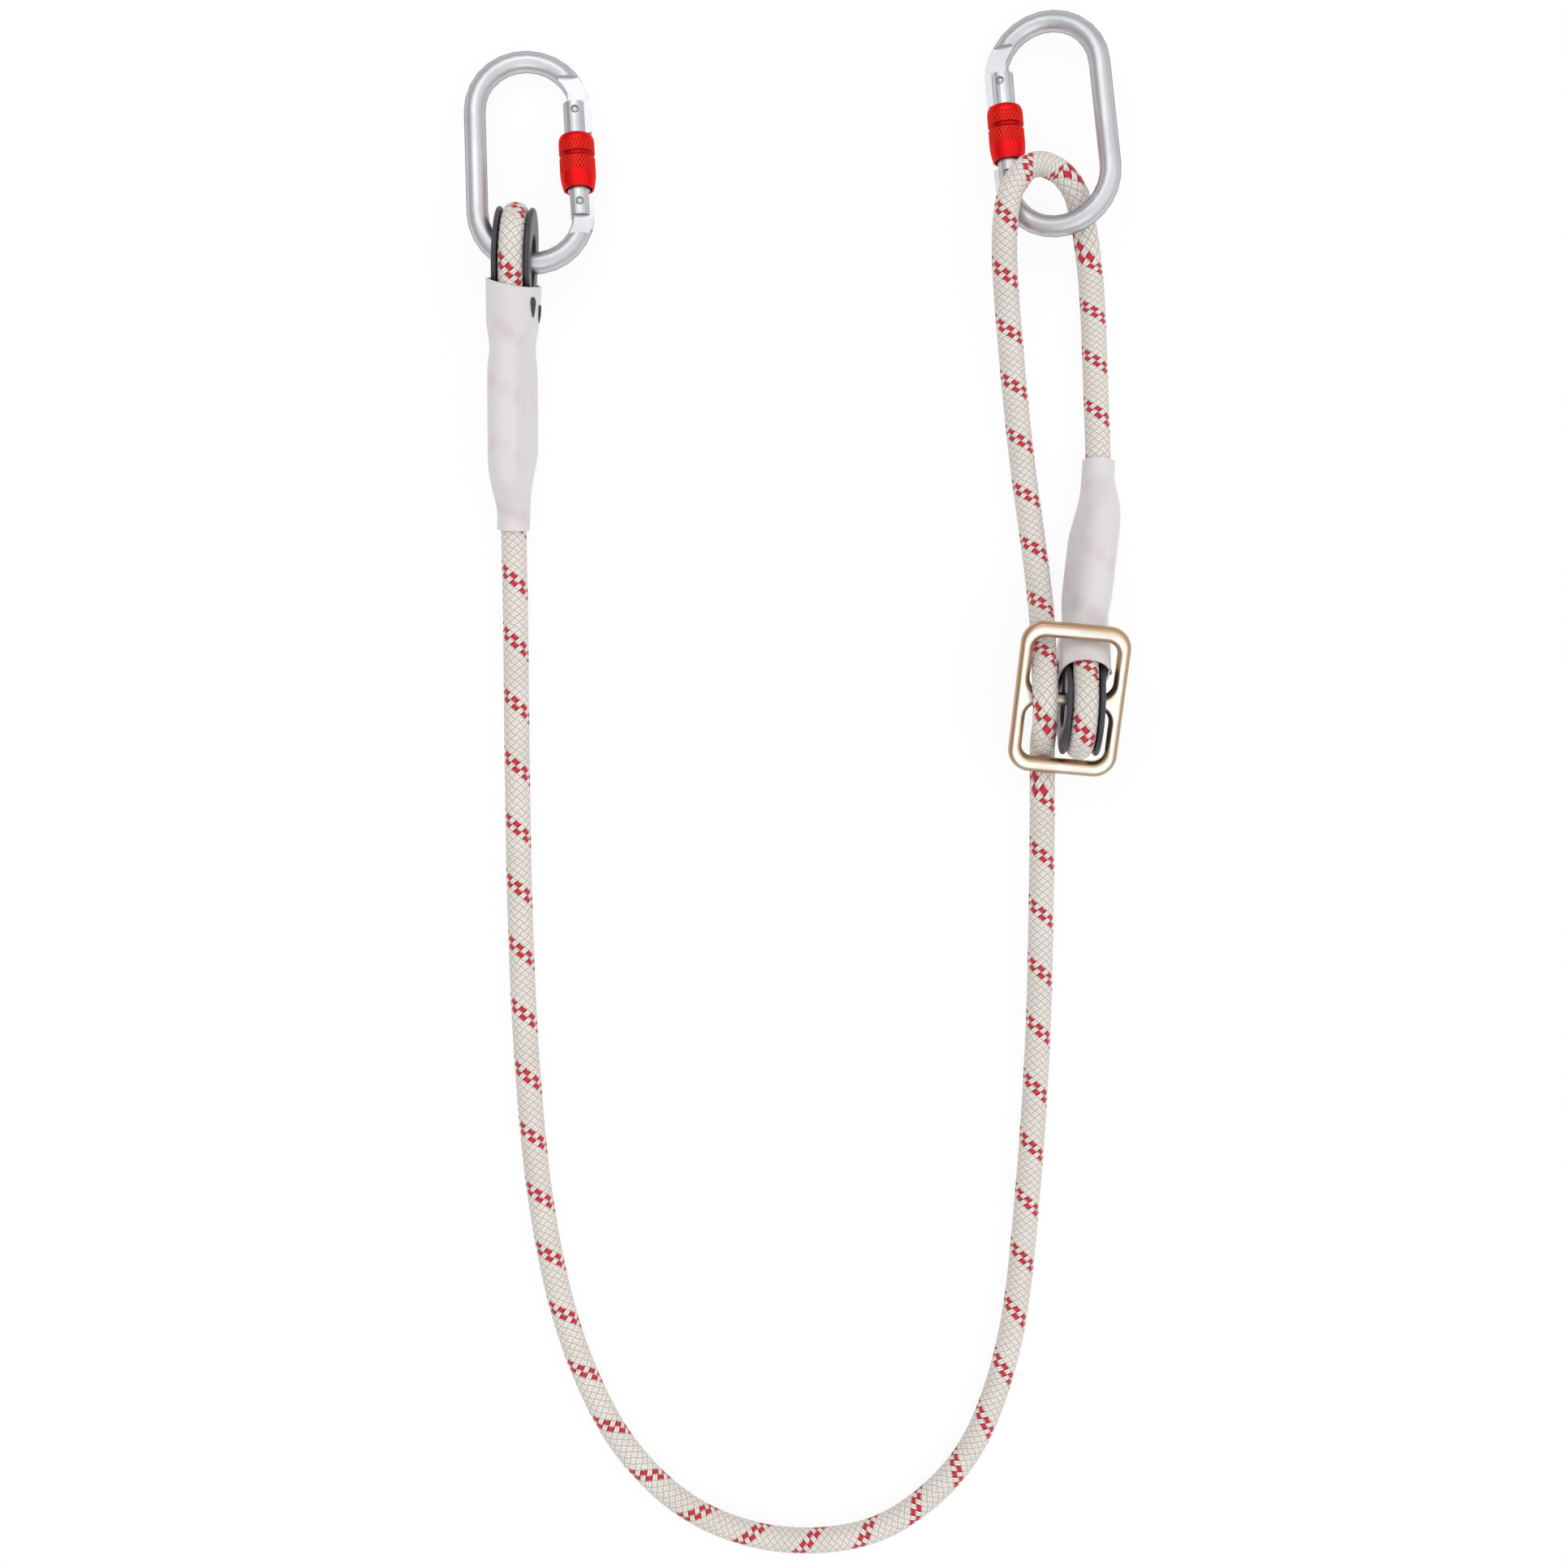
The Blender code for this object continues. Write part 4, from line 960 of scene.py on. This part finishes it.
def adjuster_ring(stuff):
    half_w, half_l = RING_WIDTH / 2, RING_LENGTH / 2
    window_w, window_l = half_w - RING_SIDE + RING_ROUND, half_l - RING_END + RING_ROUND
    bar = RING_CROSSBAR / 2 - RING_ROUND
    far, near = RING_WINDOW_CORNER + RING_ROUND, RING_CROTCH + RING_ROUND
    outlines = (
        rounded((RING_ROUND - half_w, RING_ROUND - half_l), (half_w - RING_ROUND, half_l - RING_ROUND),
                [RING_CORNER - RING_ROUND] * 4),
        rounded((-window_w, bar), (window_w, window_l), (near, near, far, far)),
        rounded((-window_w, -window_l), (window_w, -bar), (far, far, near, near)),
    )
    plate = bpy.data.curves.new("ring", "CURVE")
    plate.dimensions = "2D"
    plate.fill_mode = "BOTH"
    plate.extrude = RING_T / 2 - RING_ROUND
    plate.bevel_depth = RING_ROUND
    plate.bevel_resolution = 6
    for outline in outlines:
        spline = plate.splines.new("POLY")
        spline.points.add(len(outline) - 1)
        for point, (x, y) in zip(spline.points, outline):
            point.co = (x, y, 0, 1)
        spline.use_cyclic_u = True
    made = scene_object("adjuster_ring_plate", plate)
    mesh = evaluated(made)
    bpy.data.objects.remove(made)
    bpy.data.curves.remove(plate)
    work = bmesh.new()
    work.from_mesh(mesh)
    write_out(work, mesh)
    mesh.materials.clear()
    made = mesh_object("adjuster_ring_plate", mesh, stuff)
    # 0 on the plate's two faces, 1 halfway down its edge: the mask for the painted shade down the bars'
    # sides
    store(mesh, "rim", [1 - 2 * abs(vertex.co.z) / RING_T for vertex in mesh.vertices])
    made.data.transform(Matrix.Translation(RING_AT) @ spin(RING_YAW, "Z") @ spin(RING_PITCH, "X"))
    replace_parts(smooth(made), "adjuster_ring")
    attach(made, "adjuster")
    return made


# Finishes

# Pitch of a wave texture at scale 1
WAVE_PITCH = 0.314


def plated_steel(tree, base, dull, rim, roughness):
    # Zinc plating over forged steel: even satin gloss, faint cloudy staining, darker where it turns
    # away, and rubbed bright on the nose's pressed flats
    place = put(tree, COORDS).outputs["Object"]
    cloud = put(tree, NOISE, {"Vector": place, "Scale": 0.06 / MM, "Detail": 3, "Roughness": 0.5})
    grain = put(tree, NOISE, {"Vector": place, "Scale": 0.7 / MM, "Detail": 2, "Roughness": 0.5})
    tone = put(tree, RANGE, {0: cloud, 1: 0.35, 2: 0.7, 3: 0, 4: 1})
    tint = put(tree, MIX, {0: tone, 6: linear(base), 7: linear(dull)}, data_type="RGBA")
    ground = put(tree, ATTRIBUTE, attribute_name="ground").outputs["Fac"]
    tint = put(tree, MIX, {0: ground, 6: tint, 7: linear("#D4D5DA")}, data_type="RGBA")
    rough = put(tree, RANGE, {0: cloud, 1: 0.3, 2: 0.7, 3: roughness, 4: roughness + 0.05})
    bump = put(tree, BUMP, {"Strength": 0.12, "Distance": 0.05 * MM, "Height": grain})
    return put(tree, SHADER, {
        "Base Color": tint, "Metallic": 1, "Specular Tint": linear(rim), "Roughness": rough, "Normal": bump,
    })


def yellow_zinc(tree):
    # Yellow-passivated zinc: bright pale gold crests, green and pink drift, and painted shade that darkens
    # the plating to bronze down the bars' sides
    place = put(tree, COORDS).outputs["Object"]
    drift = put(tree, NOISE, {"Vector": place, "Scale": 0.05 / MM, "Detail": 3, "Roughness": 0.55})
    ramp = put(tree, "ShaderNodeValToRGB", {0: drift})
    golds = ((0.3, "#DED0BA"), (0.43, "#ECE6DE"), (0.5, "#D6DECC"), (0.6, "#EAD6CE"), (0.75, "#DECEB2"))
    set_stops(ramp, [(at, linear(code)) for at, code in golds])
    rim = put(tree, ATTRIBUTE, attribute_name="rim").outputs["Fac"]
    painted_side_shade = put(tree, RANGE, {0: rim, 1: 0.01, 2: 0.11, 3: 0, 4: 1})
    # Painted shade down the bars' sides, in bronze
    bronze_side_shade = put(tree, MIX, {0: drift, 6: linear("#CC9C82"), 7: linear("#B8A27C")}, data_type="RGBA")
    tint = put(tree, MIX, {0: painted_side_shade, 6: ramp.outputs[0], 7: bronze_side_shade}, data_type="RGBA")
    grain = put(tree, NOISE, {"Vector": place, "Scale": 0.6 / MM, "Detail": 2})
    bump = put(tree, BUMP, {"Strength": 0.1, "Distance": 0.05 * MM, "Height": grain})
    return put(tree, SHADER, {"Base Color": tint, "Metallic": 1, "Roughness": 0.28, "Normal": bump})


def red_anodised(tree):
    # Red anodised aluminium: dyed clear layer over metal, with a painted highlight on the knurl's crests
    # and painted shade at its roots and in the groove
    place = put(tree, COORDS).outputs["Object"]
    cloud = put(tree, NOISE, {"Vector": place, "Scale": 0.3 / MM, "Detail": 3})
    dye = put(tree, MIX, {0: cloud, 6: linear("#FA1018"), 7: linear("#E40810")}, data_type="RGBA")
    crest = put(tree, ATTRIBUTE, attribute_name="crest").outputs["Fac"]
    root = put(tree, MATH, {0: crest, 1: -1}, operation="MULTIPLY", use_clamp=True)
    painted_crest_highlight = put(tree, MATH, {0: crest, 1: 1}, operation="MULTIPLY", use_clamp=True)
    # Painted shade at the roots, then a painted highlight on the crests
    sunk = put(tree, MIX, {0: root, 6: dye, 7: linear("#A00008")}, data_type="RGBA")
    tint = put(tree, MIX, {0: painted_crest_highlight, 6: sunk, 7: linear("#FF3424")}, data_type="RGBA")
    return put(tree, SHADER, {
        "Base Color": tint, "Metallic": 1, "Specular Tint": linear("#C80810"), "Roughness": 0.42,
        "Coat Weight": 0.25, "Coat Roughness": 0.12,
    })


def moulded_plastic(tree):
    # Injection-moulded nylon: charcoal, satin, with a fine eroded tool texture
    place = put(tree, COORDS).outputs["Object"]
    grain = put(tree, NOISE, {"Vector": place, "Scale": 1.2 / MM, "Detail": 2})
    cloud = put(tree, NOISE, {"Vector": place, "Scale": 0.15 / MM, "Detail": 3})
    tint = put(tree, MIX, {0: cloud, 6: linear("#323238"), 7: linear("#414148")}, data_type="RGBA")
    bump = put(tree, BUMP, {"Strength": 0.2, "Distance": 0.04 * MM, "Height": grain})
    return put(tree, SHADER, {"Base Color": tint, "Roughness": 0.4, "IOR": 1.53, "Normal": bump})


def milky_vinyl(tree):
    # Soft PVC tube: milky, with a pink ghost of the rope's red marks and waxy broad highlights
    place = put(tree, COORDS).outputs["Object"]
    cloud = put(tree, NOISE, {"Vector": place, "Scale": 0.06 / MM, "Detail": 3})
    milk = put(tree, MIX, {0: cloud, 6: linear("#EFEBEB"), 7: linear("#E8E3E6")}, data_type="RGBA")
    ghost = put(tree, ATTRIBUTE, attribute_name="ghost").outputs["Fac"]
    tint = put(tree, MIX, {0: ghost, 6: milk, 7: linear("#DFC0CA")}, data_type="RGBA")
    wave = put(tree, NOISE, {"Vector": place, "Scale": 0.12 / MM, "Detail": 2})
    bump = put(tree, BUMP, {"Strength": 0.25, "Distance": 0.4 * MM, "Height": wave})
    return put(tree, SHADER, {
        "Base Color": tint, "Roughness": 0.36, "IOR": 1.53, "Transmission Weight": 0.08, "Normal": bump,
    })


def twine(tree):
    # Waxed whipping twine, wound side by side, with painted shade between the turns
    place = put(tree, COORDS).outputs["Object"]
    wave = {"Vector": place, "Scale": WAVE_PITCH / TWINE_D, "Distortion": 0.4}
    turns = put(tree, "ShaderNodeTexWave", wave, bands_direction="Y")
    # Painted shade: darker between the turns
    tint = put(tree, MIX, {0: turns, 6: linear("#9C9A98"), 7: linear("#DAD7D2")}, data_type="RGBA")
    bump = put(tree, BUMP, {"Strength": 0.6, "Distance": 0.2 * MM, "Height": turns})
    return put(tree, SHADER, {"Base Color": tint, "Roughness": 0.7, "Normal": bump})


def dress(name, stuff):
    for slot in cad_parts[name].material_slots:
        slot.material = stuff


# Stage

def white_paper(tree):
    # Matt paper that takes soft shadows, and looks near white to the camera and in the steel
    rays = put(tree, "ShaderNodeLightPath")
    seen = put(tree, MATH, {0: rays.outputs["Is Camera Ray"], 1: rays.outputs["Is Glossy Ray"]},
               operation="MAXIMUM")
    seen = put(tree, MATH, {0: seen, 1: rays.outputs["Is Transmission Ray"]}, operation="MAXIMUM")
    share = put(tree, MATH, {0: seen, 1: 0.88}, operation="MULTIPLY")
    paper = put(tree, "ShaderNodeBsdfDiffuse", {"Color": linear("#F4F4F4")})
    white = put(tree, "ShaderNodeEmission", {"Color": (1, 1, 1, 1), "Strength": 1.02})
    return put(tree, "ShaderNodeMixShader", {0: share, 1: paper, 2: white})


def studio_floor():
    bpy.ops.mesh.primitive_plane_add(size=FLOOR_SIZE, location=(0, 0, 0))
    floor = bpy.context.object
    floor.name = "floor"
    floor.data.materials.append(material("matt white paper", white_paper))


def softbox(name, at, size, power):
    lamp = bpy.data.lights.new(name, "AREA")
    lamp.shape = "RECTANGLE"
    lamp.size, lamp.size_y = size
    lamp.energy = power
    made = scene_object(name, lamp)
    made.location = at
    made.rotation_euler = (Vector(LAMPS_AIM) - Vector(at)).to_track_quat("-Z", "Y").to_euler()


def studio():
    # A bright tent overhead, darker towards the horizon and the left, with a long softbox at each end
    world = bpy.data.worlds.new("studio")
    bpy.context.scene.world = world
    world.use_nodes = True
    tree = world.node_tree
    tree.nodes.clear()
    way = put(tree, COORDS).outputs["Generated"]
    height = put(tree, "ShaderNodeVectorMath", {0: way, 1: TENT_AXIS}, operation="DOT_PRODUCT")
    ramp = put(tree, "ShaderNodeValToRGB", {0: height.outputs["Value"]})
    set_stops(ramp, [(at, (level, level, level, 1)) for at, level in TENT_LEVELS])
    seen = put(tree, "ShaderNodeLightPath").outputs["Is Camera Ray"]
    tent = put(tree, MIX, {0: seen, 6: ramp.outputs[0], 7: (1, 1, 1, 1)}, data_type="RGBA")
    sky = put(tree, "ShaderNodeBackground", {"Color": tent, "Strength": 1.14})
    put(tree, "ShaderNodeOutputWorld", {"Surface": sky})
    for lamp in LAMPS:
        softbox(*lamp)


def camera():
    data = bpy.data.cameras.new("camera")
    data.sensor_width = CAMERA_SENSOR
    data.lens = CAMERA_LENS
    made = scene_object("camera", data)
    made.location = CAMERA_AT
    bpy.context.scene.camera = made


bpy.context.scene.view_settings.view_transform = "Standard"
camera()
studio_floor()
studio()

BRAID_TREE = braid_tree()
KNURL_TREE = knurl_tree()
# The braid's colours: yarn, painted shade for the yarn, red mark, painted shade for the red
ROPE_YARN = material("braided polyamide", braided_polyamide, "#FBF6F0", "#B0A499", "#D22036", "#760A18")
STEEL = material("zinc plated steel", plated_steel, "#D4D5D8", "#CACACD", "#9E9EA2", 0.33)
RIVET = material("rivet steel", plated_steel, "#D0D0D2", "#B4B2B2", "#808084", 0.2)
SPRING = material("spring steel", plated_steel, "#8E8F92", "#77787C", "#606064", 0.3)
BRASS = material("turned brass", plated_steel, "#C9A862", "#B3924F", "#8A6A3A", 0.3)
RED = material("red anodised aluminium", red_anodised)
GOLD = material("yellow zinc plating", yellow_zinc)
PLASTIC = material("moulded nylon", moulded_plastic)
VINYL = material("milky soft PVC", milky_vinyl)
TWINE = material("waxed twine", twine)

free_rope(ROPE_YARN)
for side in ("left", "right"):
    eye = eye_rope(side, ROPE_YARN)
    clear_sleeve(side, eye, VINYL)
    thimble(side, PLASTIC)
    for which, tip in enumerate(TIPS[side], 1):
        thimble_tip(side, which, *tip, PLASTIC)
    screw_sleeve(side, RED)
    rivet(side, "hinge", 0, RIVET)
    rivet(side, "latch", GATE_SPAN, RIVET)
    polished(side, "_clip_frame", "_carabiner", STEEL)
    polished(side, "_gate", "_gate", STEEL)
    dress(side + "_gate_spring", SPRING)
    dress(side + "_plunger", BRASS)
    dress(side + "_seizing", TWINE)
adjuster_ring(GOLD)
